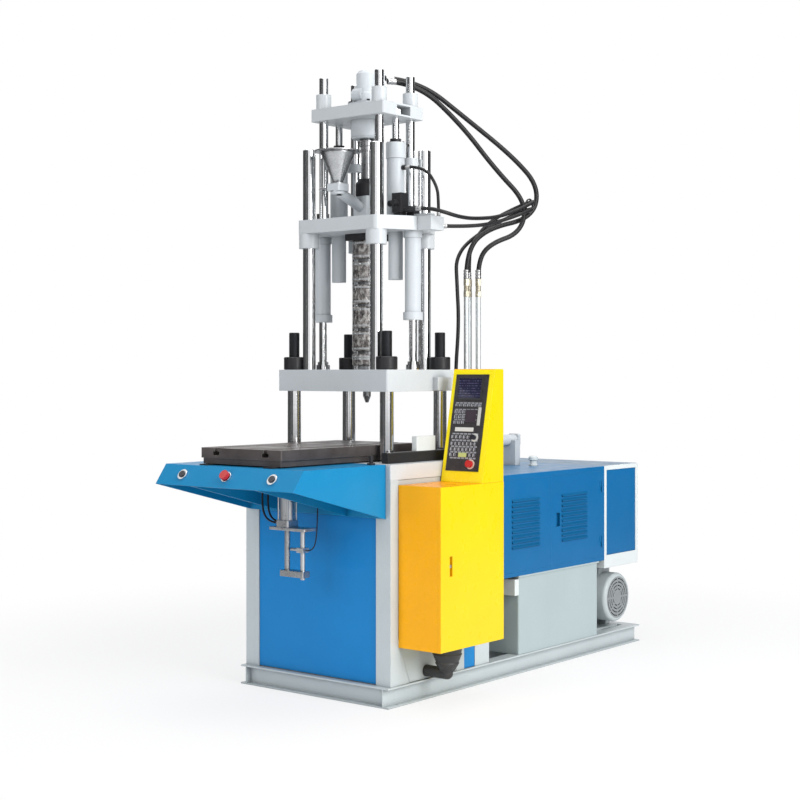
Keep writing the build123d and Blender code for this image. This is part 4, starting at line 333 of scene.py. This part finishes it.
def operator_panel(name):
    """Keypad foil and screen, coloured by place on the leaning panel."""
    t = Tree(name)
    place = t.nodes.new("ShaderNodeMapping")
    place.vector_type = "TEXTURE"
    place.inputs["Location"].default_value = PANEL_AT
    place.inputs["Rotation"].default_value = (-PANEL_LEAN, 0, 0)
    t.link(t.coord, place.inputs["Vector"])
    local = t.axes(place.outputs["Vector"])

    def rect(x, z, w, h):
        across = t.between(local["X"], x - w / 2, x + w / 2)
        return t.times(across, t.between(local["Z"], z - h / 2, z + h / 2))

    def disc(x, z, d):
        off_x = t.math("SUBTRACT", local["X"], x)
        off_z = t.math("SUBTRACT", local["Z"], z)
        far = t.math("ADD", t.times(off_x, off_x), t.times(off_z, off_z))
        return t.math("LESS_THAN", far, d * d / 4)

    foil = t.ramp(t.noise(40.0, 4), ((0.3, (0.016, 0.014, 0.016)), (0.7, (0.034, 0.029, 0.031))))
    raised = t.math("LESS_THAN", local["Y"], KEY_FRONT)
    cell = t.math("FRACT", t.times(t.math("ADD", local["X"], KEY_SHIFT), 1 / KEY_PITCH))
    mark = t.times(t.between(cell, 0.30, 0.70), t.ramp(t.noise(300.0, 2), ((0.40, 0.0), (0.50, 1.0))))
    key = t.mix(mark, (0.36, 0.37, 0.40), (0.030, 0.030, 0.040))
    tone = t.mix(raised, foil, key)
    for z, h in LABEL_ROWS:
        label = t.times(rect(-0.005, z, 0.165, h), t.between(cell, 0.10, 0.90))
        tone = t.mix(label, tone, (0.30, 0.31, 0.34))
    prints = (
        (rect(0.018, 0.032, 0.064, 0.068), (0.030, 0.018, 0.028)),         # dark field beside the upper keys
        (rect(0.070, 0.032, 0.018, 0.094), (0.50, 0.50, 0.47)),            # upright pale strip
        (rect(-0.013, -0.036, 0.114, 0.021), (0.66, 0.66, 0.62)),          # level pale strip
        (rect(-0.006, -0.166, 0.050, 0.022), (0.50, 0.56, 0.19)),          # green field in the lower keys
        (disc(0.058, -0.076, 0.042), (0.66, 0.66, 0.62)),                  # ring under the dial
        (disc(0.050, -0.212, 0.050), (0.72, 0.56, 0.46)),                  # ring under the stop
        (rect(SCREEN_X, SCREEN_Z, 0.158, 0.121), (0.020, 0.020, 0.022)),   # frame of the screen
    )
    for mask, colour in prints:
        tone = t.mix(mask, tone, colour)
    glass = rect(SCREEN_X, SCREEN_Z, 0.141, 0.104)
    rows = t.between(t.math("FRACT", t.times(local["Z"], 1 / SCREEN_ROW)), 0.35, 0.70)
    dashes = t.noise(1.0, 2, 0.5, t.mapping((260, 60, 60)))
    text = t.times(rows, t.ramp(dashes, ((0.47, 0.0), (0.55, 0.5))))
    screen = t.mix(text, (0.020, 0.020, 0.046), (0.16, 0.15, 0.28))
    tone = t.mix(glass, tone, screen)
    sheen = t.mix(glass, t.ramp(t.noise(50.0, 3), ((0.3, 0.34), (0.7, 0.46))), (0.10, 0.10, 0.10))
    t.bump(t.noise(700.0, 2), 0.05, 0.0003, 0.001)
    return t.finish(tone, sheen)


GREY = paint("grey_enamel", (0.525, 0.575, 0.59), 0.36, edge=1.3)
# Platen grey with painted shade on its forward faces
BED_GREY = paint("platen_enamel", (0.585, 0.617, 0.634), 0.34, edge=1.3, front=(0.88, 0.88, 0.89))
CAST = paint("cast_enamel", (0.55, 0.585, 0.61), 0.42, edge=1.3, cast=True)
BLUE = paint("panel_blue", (0.0005, 0.212, 0.55), 0.36, edge=1.5)
TRAY_BLUE = paint("tray_blue", (0.004, 0.222, 0.46), 0.36, edge=1.5)

# The top tints are painted light and shade on upward faces; those far over 1 lift a channel that is almost 0 in
# the tone
REAR_TONE = (0.0002, 0.128, 0.330)
COVER_BLUE = paint("cover_blue", REAR_TONE, 0.38, edge=1.6, top=(1.0, 0.85, 0.8))
HOOD_BLUE = paint("hood_blue", REAR_TONE, 0.38, edge=1.6, top=(500.0, 1.75, 1.15))
YELLOW_TONE = (0.80, 0.565, 0.0005)
# Painted shade: upward faces of the yellow parts turn orange
TOP_SHADE_ORANGE = (1.12, 0.60, 1.0)
# Cabinet with painted amber shade on its forward faces
YELLOW = paint("cabinet_yellow", YELLOW_TONE, 0.30, edge=1.10, corner_shade_and_dirt=0.25,
               front=(1.20, 0.77, 1.0), top=TOP_SHADE_ORANGE)
# Pod with painted light, brighter and more lemon, on its forward faces
POD_YELLOW = paint("pod_yellow", YELLOW_TONE, 0.30, edge=1.10, corner_shade_and_dirt=0.25,
                   front=(1.20, 1.42, 4.0), top=TOP_SHADE_ORANGE)
TANK_GREY = paint("tank_enamel", (0.40, 0.475, 0.485), 0.36, edge=1.3)
WHITE_TONE = (0.68, 0.72, 0.72)
WHITE = paint("white_enamel", WHITE_TONE, 0.36, edge=1.2, corner_shade_and_dirt=0.4)
# White enamel with painted shade, dark and bluish, on its upward faces
BAY_WHITE = paint("bay_white", WHITE_TONE, 0.36, edge=1.2, corner_shade_and_dirt=0.4, top=(0.17, 0.28, 0.42))
MOTOR = paint("motor_enamel", (0.48, 0.53, 0.54), 0.42, cast=True)
GRILLE = paint("grille_enamel", (0.25, 0.27, 0.275), 0.42, edge=1.3)
PANEL = operator_panel("operator_panel")
PIPES = pipe_metal("pipe_steel", PIPE_FITTING_Z)
CRIMP = steel("crimped_ferrule", (0.50, 0.50, 0.50), 0.32, grain=(8, 8, 60))
BLACK = paint("black_oxide", (0.022, 0.022, 0.024), 0.36, edge=3.0, corner_shade_and_dirt=0.2)
CHROME = chrome("hard_chrome")
BAR_CHROME = chrome("tie_bar_chrome", thread_from=PLATEN_TOP + 0.003)
STEEL = steel("machined_steel", (0.56, 0.57, 0.58))
TURNED = steel("turned_steel", (0.42, 0.43, 0.44), 0.30, grain=(4, 4, 70))
SPUN = steel("spun_stainless", (0.50, 0.51, 0.52), 0.28, grain=(40, 40, 4))
HEATER = heater("heater_cover")
TABLE = oiled_table("oiled_table_steel")
RUBBER = rubber("hose_rubber")
DARK_PLASTIC = plastic("dark_plastic", (0.030, 0.030, 0.032), 0.5)
BUTTON = plastic("button_black", (0.020, 0.022, 0.030), 0.22, coat=0.4)
RED = plastic("stop_red", (0.52, 0.018, 0.016), 0.25, coat=0.5)

NODE_LOOKS = {
    "base_frame": GREY, "body_frame": GREY, "bed_plate": BED_GREY, "table_tray": TRAY_BLUE, "bed_rails": BLACK,
    "table_cylinder": CAST, "ejector_cylinder": STEEL, "clamp_cylinder": GREY, "cabinet": YELLOW,
    "electrical_plate": DARK_PLASTIC, "cable_boot": DARK_PLASTIC, "hmi_pod": POD_YELLOW, "oil_tank": TANK_GREY,
    "rear_cover": HOOD_BLUE, "rear_bay": BAY_WHITE, "rear_panels": COVER_BLUE, "pump_motor": MOTOR,
    "service_boxes": WHITE, "steel_pipes": PIPES, "clamp_crosshead": STEEL, "tie_bars": BAR_CHROME,
    "tie_bar_nuts": BLACK, "upper_platen": BED_GREY, "guide_columns": CHROME, "carriage_plate": BED_GREY,
    "guide_bars": CHROME, "carriage_cylinders": CAST, "carriage_fittings": BLACK, "barrel": TURNED,
    "heater_covers": HEATER, "feed_throat": CAST, "hopper": SPUN, "feed_gate": STEEL, "drive_plate": BED_GREY,
    "injection_rods": CHROME, "screw_drive": CAST, "screw": TURNED, "slide_table": TABLE, "table_rod": CHROME,
    "ejector_rod": TURNED, "start_button_left": BUTTON, "start_button_right": BUTTON, "stop_button": RED,
    "cabinet_door": YELLOW, "door_latch": STEEL, "hmi_dial": BUTTON, "hmi_stop": RED, "louvre_door": COVER_BLUE,
    "motor_fan": DARK_PLASTIC, "body_panels": BLUE, "hmi_panel": PANEL,
}
for node_name, look in NODE_LOOKS.items():
    for material_slot in nodes[node_name].material_slots:
        material_slot.material = look


def second_look(node_name, look, test):
    """Gives another material to the faces of a node whose middle passes the test."""
    data = nodes[node_name].data
    data.materials.append(look)
    for polygon in data.polygons:
        if test(polygon.center):
            polygon.material_index = len(data.materials) - 1


# Limits of the parts of a node that get a second look
MANIFOLD_INNER_X = 0.300
MANIFOLD_TOP = 2.4525
MANIFOLD_FRONT_Y = -0.830
SIDE_SHEET_X = 0.45
MID_POST_Y = -0.61
GRILLE_X = 0.494
GRILLE_R = 0.122


def on_manifold(at):
    return at.x > MANIFOLD_INNER_X and at.z < MANIFOLD_TOP and at.y > MANIFOLD_FRONT_Y


def on_service_sheet(at):
    return abs(at.x) > SIDE_SHEET_X and at.y < MID_POST_Y


def on_fan_grille(at):
    return at.x > GRILLE_X and math.hypot(at.y - PUMP_Y, at.z - PUMP_Z) < GRILLE_R


second_look("carriage_fittings", BED_GREY, on_manifold)
second_look("body_panels", GREY, on_service_sheet)
second_look("pump_motor", GRILLE, on_fan_grille)


# Camera, floor, lights

camera_data = bpy.data.cameras.new("camera")
camera_data.lens = LENS_MM
camera_data.sensor_width = SENSOR_MM
camera_data.shift_y = SHIFT_Y
camera_data.clip_end = 60
camera = bpy.data.objects.new("camera", camera_data)
camera.location = CAMERA_AT
camera.rotation_euler = (math.pi / 2, 0, CAMERA_AZIMUTH)
bpy.context.collection.objects.link(camera)
bpy.context.scene.camera = camera


def area_light(name, at, aim, size, watts):
    """Wide lamp at a place, turned to what it lights."""
    data = bpy.data.lights.new(name, "AREA")
    data.energy = watts
    data.shape = "RECTANGLE"
    data.size = size[0]
    data.size_y = size[1]
    lamp = bpy.data.objects.new(name, data)
    lamp.location = at
    lamp.rotation_euler = (Vector(aim) - Vector(at)).to_track_quat("-Z", "Y").to_euler()
    bpy.context.collection.objects.link(lamp)


area_light("key_right", (7.5, -1.5, 4.2), (0, 0, 1.4), (4, 5), 560)
area_light("fill_front", (-1.0, -8.5, 3.2), (0, 0, 1.3), (5, 4), 190)
area_light("top_soft", (0.5, -0.5, 7.5), (0, 0, 1), (5, 5), 190)

# World: white where it is seen or mirrored, softer grey as light
WORLD_SEEN = (1, 1, 1, 1)
WORLD_LIGHT = (0.46, 0.47, 0.49, 1)
world = bpy.data.worlds.new("studio")
bpy.context.scene.world = world
world.use_nodes = True
sky_nodes = world.node_tree.nodes
sky_links = world.node_tree.links
ray = sky_nodes.new("ShaderNodeLightPath")
seen = ray.outputs["Is Camera Ray"]
for other in ("Is Glossy Ray", "Is Transmission Ray"):
    either = sky_nodes.new("ShaderNodeMath")
    either.operation = "MAXIMUM"
    sky_links.new(seen, either.inputs[0])
    sky_links.new(ray.outputs[other], either.inputs[1])
    seen = either.outputs[0]
shade = sky_nodes.new("ShaderNodeMix")
shade.data_type = "RGBA"
sky_links.new(seen, shade.inputs[0])
shade.inputs[6].default_value = WORLD_LIGHT
shade.inputs[7].default_value = WORLD_SEEN
background = sky_nodes["Background"]
sky_links.new(shade.outputs[2], background.inputs["Color"])
background.inputs["Strength"].default_value = 1.0


def add_mesh(name, bm, look, smooth=True):
    """Scene object from a finished bmesh."""
    data = bpy.data.meshes.new(name)
    bm.to_mesh(data)
    bm.free()
    for polygon in data.polygons:
        polygon.use_smooth = smooth
    data.materials.append(look)
    piece = bpy.data.objects.new(name, data)
    bpy.context.collection.objects.link(piece)
    return piece


# Pale floor that keeps its contact shadow and fades to white away from the machine
FLOOR_HALF = 40
FADE_START = 1.6
FADE_END = 4.0
NEAR_GLOW = 0.72
FAR_GLOW = 1.0
floor_tree = Tree("pale_floor")
floor_look = floor_tree.finish((0.86, 0.86, 0.86), 0.9)
glow = floor_tree.nodes.new("ShaderNodeEmission")
glow.inputs["Color"].default_value = (1, 1, 1, 1)
floor_far = floor_tree.nodes.new("ShaderNodeVectorMath")
floor_far.operation = "LENGTH"
floor_tree.link(floor_tree.coord, floor_far.inputs[0])
fade = floor_tree.nodes.new("ShaderNodeMapRange")
fade.interpolation_type = "SMOOTHSTEP"
fade.inputs["From Min"].default_value = FADE_START
fade.inputs["From Max"].default_value = FADE_END
fade.inputs["To Min"].default_value = NEAR_GLOW
fade.inputs["To Max"].default_value = FAR_GLOW
floor_tree.link(floor_far.outputs["Value"], fade.inputs["Value"])
floor_ray = floor_tree.nodes.new("ShaderNodeLightPath")
share = floor_tree.times(floor_ray.outputs["Is Camera Ray"], fade.outputs["Result"])
floor_mix = floor_tree.nodes.new("ShaderNodeMixShader")
floor_tree.link(share, floor_mix.inputs[0])
floor_tree.link(floor_tree.shader.outputs[0], floor_mix.inputs[1])
floor_tree.link(glow.outputs[0], floor_mix.inputs[2])
floor_tree.link(floor_mix.outputs[0], floor_tree.nodes["Material Output"].inputs["Surface"])
floor_mesh = bmesh.new()
bmesh.ops.create_grid(floor_mesh, x_segments=1, y_segments=1, size=FLOOR_HALF)
floor = add_mesh("studio_floor", floor_mesh, floor_look, False)


# Dark curved cards that only reflections see, for the bands on polished bars.
# Each one's ends are headings in degrees from the camera's side.
CARD_RADIUS = 7.0
CARD_LOW = -0.2
CARD_HIGH = 6.0
CARD_STEPS = 24
card_tree = Tree("dark_card")
card_tone = card_tree.ramp(card_tree.noise(0.6, 3), ((0.3, 0.055), (0.7, 0.085)))
CARD = card_tree.finish(card_tone, 0.9, specular=0.1)
toward = math.atan2(CAMERA_AT[1] - CLAMP_Y, CAMERA_AT[0])
for name, first, last in (("card_left", -150, -20), ("card_right", 50, 150)):
    card_mesh = bmesh.new()
    low_row = []
    high_row = []
    for i in range(CARD_STEPS + 1):
        heading = toward + math.radians(first + (last - first) * i / CARD_STEPS)
        x = CARD_RADIUS * math.cos(heading)
        y = CLAMP_Y + CARD_RADIUS * math.sin(heading)
        low_row.append(card_mesh.verts.new((x, y, CARD_LOW)))
        high_row.append(card_mesh.verts.new((x, y, CARD_HIGH)))
    for i in range(CARD_STEPS):
        card_mesh.faces.new((low_row[i], low_row[i + 1], high_row[i + 1], high_row[i]))
    card = add_mesh(name, card_mesh, CARD, False)
    card.visible_camera = False
    card.visible_diffuse = False
    card.visible_shadow = False
    card.visible_transmission = False


# Hoses and cables: the same routes as the solids, as smooth splines

# Upright plane of the hose bundle: where it starts and its heading on the floor
BUNDLE_AT = (0.350, -0.317)
BUNDLE_DIR = (0.545, 0.839)


def on_line(s, z, n):
    """Point s along the bundle's plane, z high and n beside it."""
    return (BUNDLE_AT[0] + s * BUNDLE_DIR[0] + n * BUNDLE_DIR[1],
            BUNDLE_AT[1] + s * BUNDLE_DIR[1] - n * BUNDLE_DIR[0], z)


def turned_along(bm, start, along, profile, sides):
    """Ring of revolution: profile gives (distance along, radius) pairs."""
    turn = Vector(along).to_track_quat("Z", "Y").to_matrix()
    rows = []
    for z, radius in profile:
        row = []
        for i in range(sides):
            angle = 2 * math.pi * i / sides
            local = Vector((radius * math.cos(angle), radius * math.sin(angle), z))
            row.append(bm.verts.new(turn @ local + Vector(start)))
        rows.append(row)
    for low, high in zip(rows, rows[1:] + rows[:1]):
        for i in range(sides):
            j = (i + 1) % sides
            bm.faces.new((low[i], low[j], high[j], high[i]))


# Crimped sleeve: shares of its length and of the hose's radius
FERRULE_LONG = 1.9
FERRULE_PROFILE = ((0.0, 1.02), (0.0, 1.16), (0.12, 1.24), (0.24, 1.24), (0.30, 1.12), (0.40, 1.12), (0.46, 1.24),
                   (0.60, 1.24), (0.66, 1.12), (0.76, 1.12), (0.82, 1.22), (0.96, 1.20), (1.0, 1.02))
FERRULE_SIDES = 24
RING_SIDES = 48
SCREW_SIDES = 12


def ferrule(name, start, toward_next, diameter, body):
    """Crimped sleeve over a hose end, with pressed grooves."""
    length = FERRULE_LONG * diameter
    profile = [(length * along, diameter / 2 * wide) for along, wide in FERRULE_PROFILE]
    bm = bmesh.new()
    turned_along(bm, start, Vector(toward_next) - Vector(start), profile, FERRULE_SIDES)
    bmesh.ops.recalc_face_normals(bm, faces=bm.faces)
    sleeve = add_mesh(name, bm, CRIMP)
    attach(sleeve, body)
    return sleeve


def hose(name, node, points, diameter, body):
    """Spline hose that stands for a solid, with a ferrule at each end of the thicker ones."""
    curve = bpy.data.curves.new(name, "CURVE")
    curve.dimensions = "3D"
    spline = curve.splines.new("NURBS")
    spline.points.add(len(points) - 1)
    for control, at in zip(spline.points, points):
        control.co = (*at, 1)
    spline.use_endpoint_u = True
    spline.order_u = 3
    curve.resolution_u = 16
    piece = bpy.data.objects.new(name, curve)
    bpy.context.collection.objects.link(piece)
    bare = bpy.data.meshes.new_from_object(piece)
    curve.bevel_depth = diameter / 2
    curve.bevel_resolution = 6
    curve.materials.append(RUBBER)
    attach(piece, body)
    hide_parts(node)
    if diameter >= THIN_D:
        ferrule(name + "_ferrule_start", points[0], points[1], diameter, body)
        ferrule(name + "_ferrule_end", points[-1], points[-2], diameter, body)


HOSE_D = 0.026
LINE_D = 0.020
LOOP_D = 0.016
THIN_D = 0.010
CABLE_D = 0.006
hose("outer_motor_hose", "motor_hose_outer", [on_line(*p) for p in (
    (-0.470, 3.203, -0.060), (-0.285, 3.203, -0.060), (0, 3.000, -0.050), (0.250, 2.815, -0.035),
    (0.405, 2.655, -0.030), (0.365, 2.482, -0.026), (0.090, 2.415, -0.020), (-0.030, 2.290, -0.005),
    (-0.030, 2.140, -0.005))], HOSE_D, "frame")
hose("inner_motor_hose", "motor_hose_inner", [on_line(*p) for p in (
    (-0.470, 3.179, -0.024), (-0.300, 3.179, -0.024), (-0.060, 2.965, 0), (0.130, 2.735, 0.010),
    (0.310, 2.560, 0.020), (0.275, 2.395, 0.022), (0.095, 2.330, 0.020), (0.034, 2.240, 0.005),
    (0.034, 2.140, 0.005))], HOSE_D, "frame")
hose("valve_line", "valve_hose", [
    (0.378, -0.839, 2.472), (0.454, -0.839, 2.472), (0.520, -0.800, 2.452), (0.556, -0.715, 2.430),
    (0.545, -0.560, 2.432)] + [on_line(*p) for p in (
        (0.110, 2.462, 0.170), (0.340, 2.565, 0.116), (0.340, 2.565, -0.104), (0.130, 2.460, -0.104),
        (0.012, 2.320, -0.055), (0.002, 2.230, -0.048), (0.002, 2.140, -0.048))], LINE_D, "frame")
hose("drop_line", "drop_hose", [on_line(*p) for p in (
    (-0.276, 2.394, 0.258), (-0.090, 2.394, 0.258), (0.110, 2.440, 0.180), (0.330, 2.525, 0.125),
    (0.330, 2.525, -0.125), (0.120, 2.420, -0.145), (-0.068, 2.280, -0.070), (-0.077, 2.100, -0.022),
    (-0.069, 1.900, -0.016), (-0.086, 1.620, -0.028), (-0.075, 1.380, -0.020), (-0.075, 1.216, -0.020))],
    LINE_D, "frame")
hose("loop_line", "loop_hose", [
    (0.262, CLAMP_Y, 2.700), (0.382, -0.779, 2.696), (0.458, -0.768, 2.590), (0.452, -0.748, 2.506),
    (0.444, -0.738, CARR_TOP)], LOOP_D, "carriage")
hose("front_ejector_line", "ejector_hose_front", [
    (-0.041, -1.408, 0.888), (-0.098, -1.408, 0.888), (-0.150, -1.407, 0.922), (-0.164, -1.405, 1.000),
    (-0.156, -1.402, 1.095), (-0.156, -1.402, TRAY_UNDER)], THIN_D, "frame")
hose("back_ejector_line", "ejector_hose_back", [
    (-0.041, -1.378, 0.888), (-0.094, -1.378, 0.888), (-0.142, -1.377, 0.924), (-0.154, -1.374, 1.003),
    (-0.145, -1.370, 1.097), (-0.145, -1.370, TRAY_UNDER)], THIN_D, "frame")
hose("sensor_lead", "sensor_cable", [
    (0.125, EJECT_Y, 0.762), (0.160, -1.394, 0.762), (0.184, -1.390, 0.797), (0.188, -1.384, 0.865),
    (0.180, -1.372, 0.948), (0.175, -1.358, 1.030), (0.167, -1.352, 1.104), (0.167, -1.352, TRAY_UNDER)],
    CABLE_D, "frame")

UP = Vector((0, 0, 1))

# Clamping straps and their screws on the heater covers, whose ends these heights are.
# The lowest strap stays over the platen when the carriage is down.
BAND_ENDS = (2.332, 2.221, 2.100, 1.983, 1.856, 1.735, 1.660)
BAND_R = 0.0765
STRAP_W = 0.010
STRAP_IN = BAND_R - 0.0005
STRAP_OUT = BAND_R + 0.0016
STRAP_BELOW_TOP = 0.014
STRAP_OVER_LOW = 0.028
CARRIAGE_DOWN = 0.050
STRAP_LOWEST = PLATEN_TOP + CARRIAGE_DOWN + 0.007
STRAP_SCREW_Y = CLAMP_Y - BAND_R - 0.0028
STRAP_SCREW_R = 0.0036
STRAP_SCREW_L = 0.010
PIN_HOLE_R = 0.0005
straps = bmesh.new()
for band_top, band_low in zip(BAND_ENDS[:-1], BAND_ENDS[1:]):
    for z in (band_top - STRAP_BELOW_TOP, max(band_low + STRAP_OVER_LOW, STRAP_LOWEST)):
        turned_along(straps, (0, CLAMP_Y, z), UP, [
            (-STRAP_W / 2, STRAP_IN), (-STRAP_W / 2, STRAP_OUT),
            (STRAP_W / 2, STRAP_OUT), (STRAP_W / 2, STRAP_IN)], RING_SIDES)
        for side in (-1, 1):
            turned_along(straps, (STRAP_SCREW_L * side, STRAP_SCREW_Y, z), (side, 0, 0), [
                (0.0, PIN_HOLE_R), (0.0, STRAP_SCREW_R), (STRAP_SCREW_L, STRAP_SCREW_R),
                (STRAP_SCREW_L, PIN_HOLE_R)], SCREW_SIDES)
bmesh.ops.recalc_face_normals(straps, faces=straps.faces)
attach(add_mesh("heater_straps", straps, STEEL, False), "carriage")

# Dark wrap that ties the hoses where they cross: three oval turns of round cord
WRAP_S = 0.335
WRAP_Z = 2.545
WRAP_N = -0.004
WRAP_WIDE = 0.020
WRAP_TALL = 0.037
WRAP_PITCH = 0.007
WRAP_CORD_R = 0.0035
WRAP_STEPS = 32
CORD_SIDES = 8
wrap_across = Vector((BUNDLE_DIR[1], -BUNDLE_DIR[0], 0))
wrap = bmesh.new()
for turn in (-1, 0, 1):
    rings = []
    for i in range(WRAP_STEPS):
        angle = 2 * math.pi * i / WRAP_STEPS
        s_off = WRAP_WIDE * math.cos(angle)
        z_off = WRAP_TALL * math.sin(angle)
        beside = WRAP_N + WRAP_PITCH * turn
        centre = Vector(on_line(WRAP_S + s_off, WRAP_Z + z_off, beside))
        outward = Vector(on_line(WRAP_S + 2 * s_off, WRAP_Z + 2 * z_off, beside)) - centre
        outward.normalize()
        ring = []
        for k in range(CORD_SIDES):
            around = 2 * math.pi * k / CORD_SIDES
            offset = outward * math.cos(around) + wrap_across * math.sin(around)
            ring.append(wrap.verts.new(centre + WRAP_CORD_R * offset))
        rings.append(ring)
    for here, there in zip(rings, rings[1:] + rings[:1]):
        for k in range(CORD_SIDES):
            m = (k + 1) % CORD_SIDES
            wrap.faces.new((here[k], here[m], there[m], there[k]))
bmesh.ops.recalc_face_normals(wrap, faces=wrap.faces)
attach(add_mesh("hose_wrap", wrap, DARK_PLASTIC), "frame")

# Bright covers on the bezels of the push buttons, on the tray's slanted face
TRAY_FRONT_Y = -1.850
TRAY_LEAN = 0.070
TRAY_LIP_Z = 1.090
BED_TOP = 1.186
FACE_Y = TRAY_FRONT_Y + TRAY_LEAN / 2
FACE_Z = (TRAY_LIP_Z + BED_TOP) / 2
FACE_OUT = Vector((0, TRAY_LIP_Z - BED_TOP, TRAY_LEAN)).normalized()
BUTTON_X = 0.300
BEZEL_PROFILE = [(0.0005, 0.0283), (0.0072, 0.0283), (0.0087, 0.0268), (0.0087, 0.0188), (0.0081, 0.0188),
                 (0.0081, 0.0281)]
for name, x in (("bezel_left", -BUTTON_X), ("bezel_middle", 0.0), ("bezel_right", BUTTON_X)):
    bezel = bmesh.new()
    turned_along(bezel, (x, FACE_Y, FACE_Z), FACE_OUT, BEZEL_PROFILE, RING_SIDES)
    bmesh.ops.recalc_face_normals(bezel, faces=bezel.faces)
    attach(add_mesh(name, bezel, CHROME, False), "frame")

# Socket head: height and radius as shares of the screw's size, and the radius that is left at the middle
HEAD_PROFILE = ((0.0, 0.75), (0.70, 0.75), (0.80, 0.65), (0.80, 0.40), (0.35, 0.40))
CENTRE_R = 0.0003


def cap_screws(name, body, places, out, size):
    """Socket head screws standing on a face."""
    head = [(size * up, size * wide) for up, wide in HEAD_PROFILE]
    profile = [(head[0][0], CENTRE_R)] + head + [(head[-1][0], CENTRE_R)]
    bm = bmesh.new()
    for at in places:
        turned_along(bm, at, out, profile, SCREW_SIDES)
    bmesh.ops.recalc_face_normals(bm, faces=bm.faces)
    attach(add_mesh(name, bm, BLACK, False), body)


FOOT_SCREW_AT = 0.060
FOOT_FLANGE_T = 0.030
FOOT_SCREW_D = 0.012
foot_places = []
for sx in (-1, 1):
    for sy in (-1, 1):
        foot_places.append((sx * FOOT_SCREW_AT, CLAMP_Y + sy * FOOT_SCREW_AT, DRIVE_TOP + FOOT_FLANGE_T))
cap_screws("motor_foot_screws", "drive", foot_places, UP, FOOT_SCREW_D)

CYLINDER_X = 0.195
HEAD_SCREWS = 6
HEAD_RING_R = 0.0405
HEAD_SCREW_D = 0.008
head_places = []
for sx in (-1, 1):
    for i in range(HEAD_SCREWS):
        angle = 2 * math.pi * (i + 0.5) / HEAD_SCREWS
        head_places.append((sx * CYLINDER_X + HEAD_RING_R * math.cos(angle),
                            CLAMP_Y + HEAD_RING_R * math.sin(angle), CYLINDER_TOP))
cap_screws("cylinder_head_screws", "carriage", head_places, UP, HEAD_SCREW_D)

PANEL_SCREW_X = 0.0955
PANEL_SCREW_Z = 0.240
PANEL_SCREW_D = 0.005
PANEL_PROUD = 0.003
lean_cos = math.cos(PANEL_LEAN)
lean_sin = math.sin(PANEL_LEAN)
panel_places = []
for sx in (-1, 1):
    for up in (-PANEL_SCREW_Z, PANEL_SCREW_Z):
        panel_places.append((PANEL_AT[0] + sx * PANEL_SCREW_X,
                             PANEL_AT[1] - PANEL_PROUD * lean_cos + up * lean_sin,
                             PANEL_AT[2] + PANEL_PROUD * lean_sin + up * lean_cos))
panel_out = Vector((0, -lean_cos, lean_sin))
cap_screws("operator_panel_screws", "frame", panel_places, panel_out, PANEL_SCREW_D)

bpy.context.scene.view_settings.view_transform = "Standard"
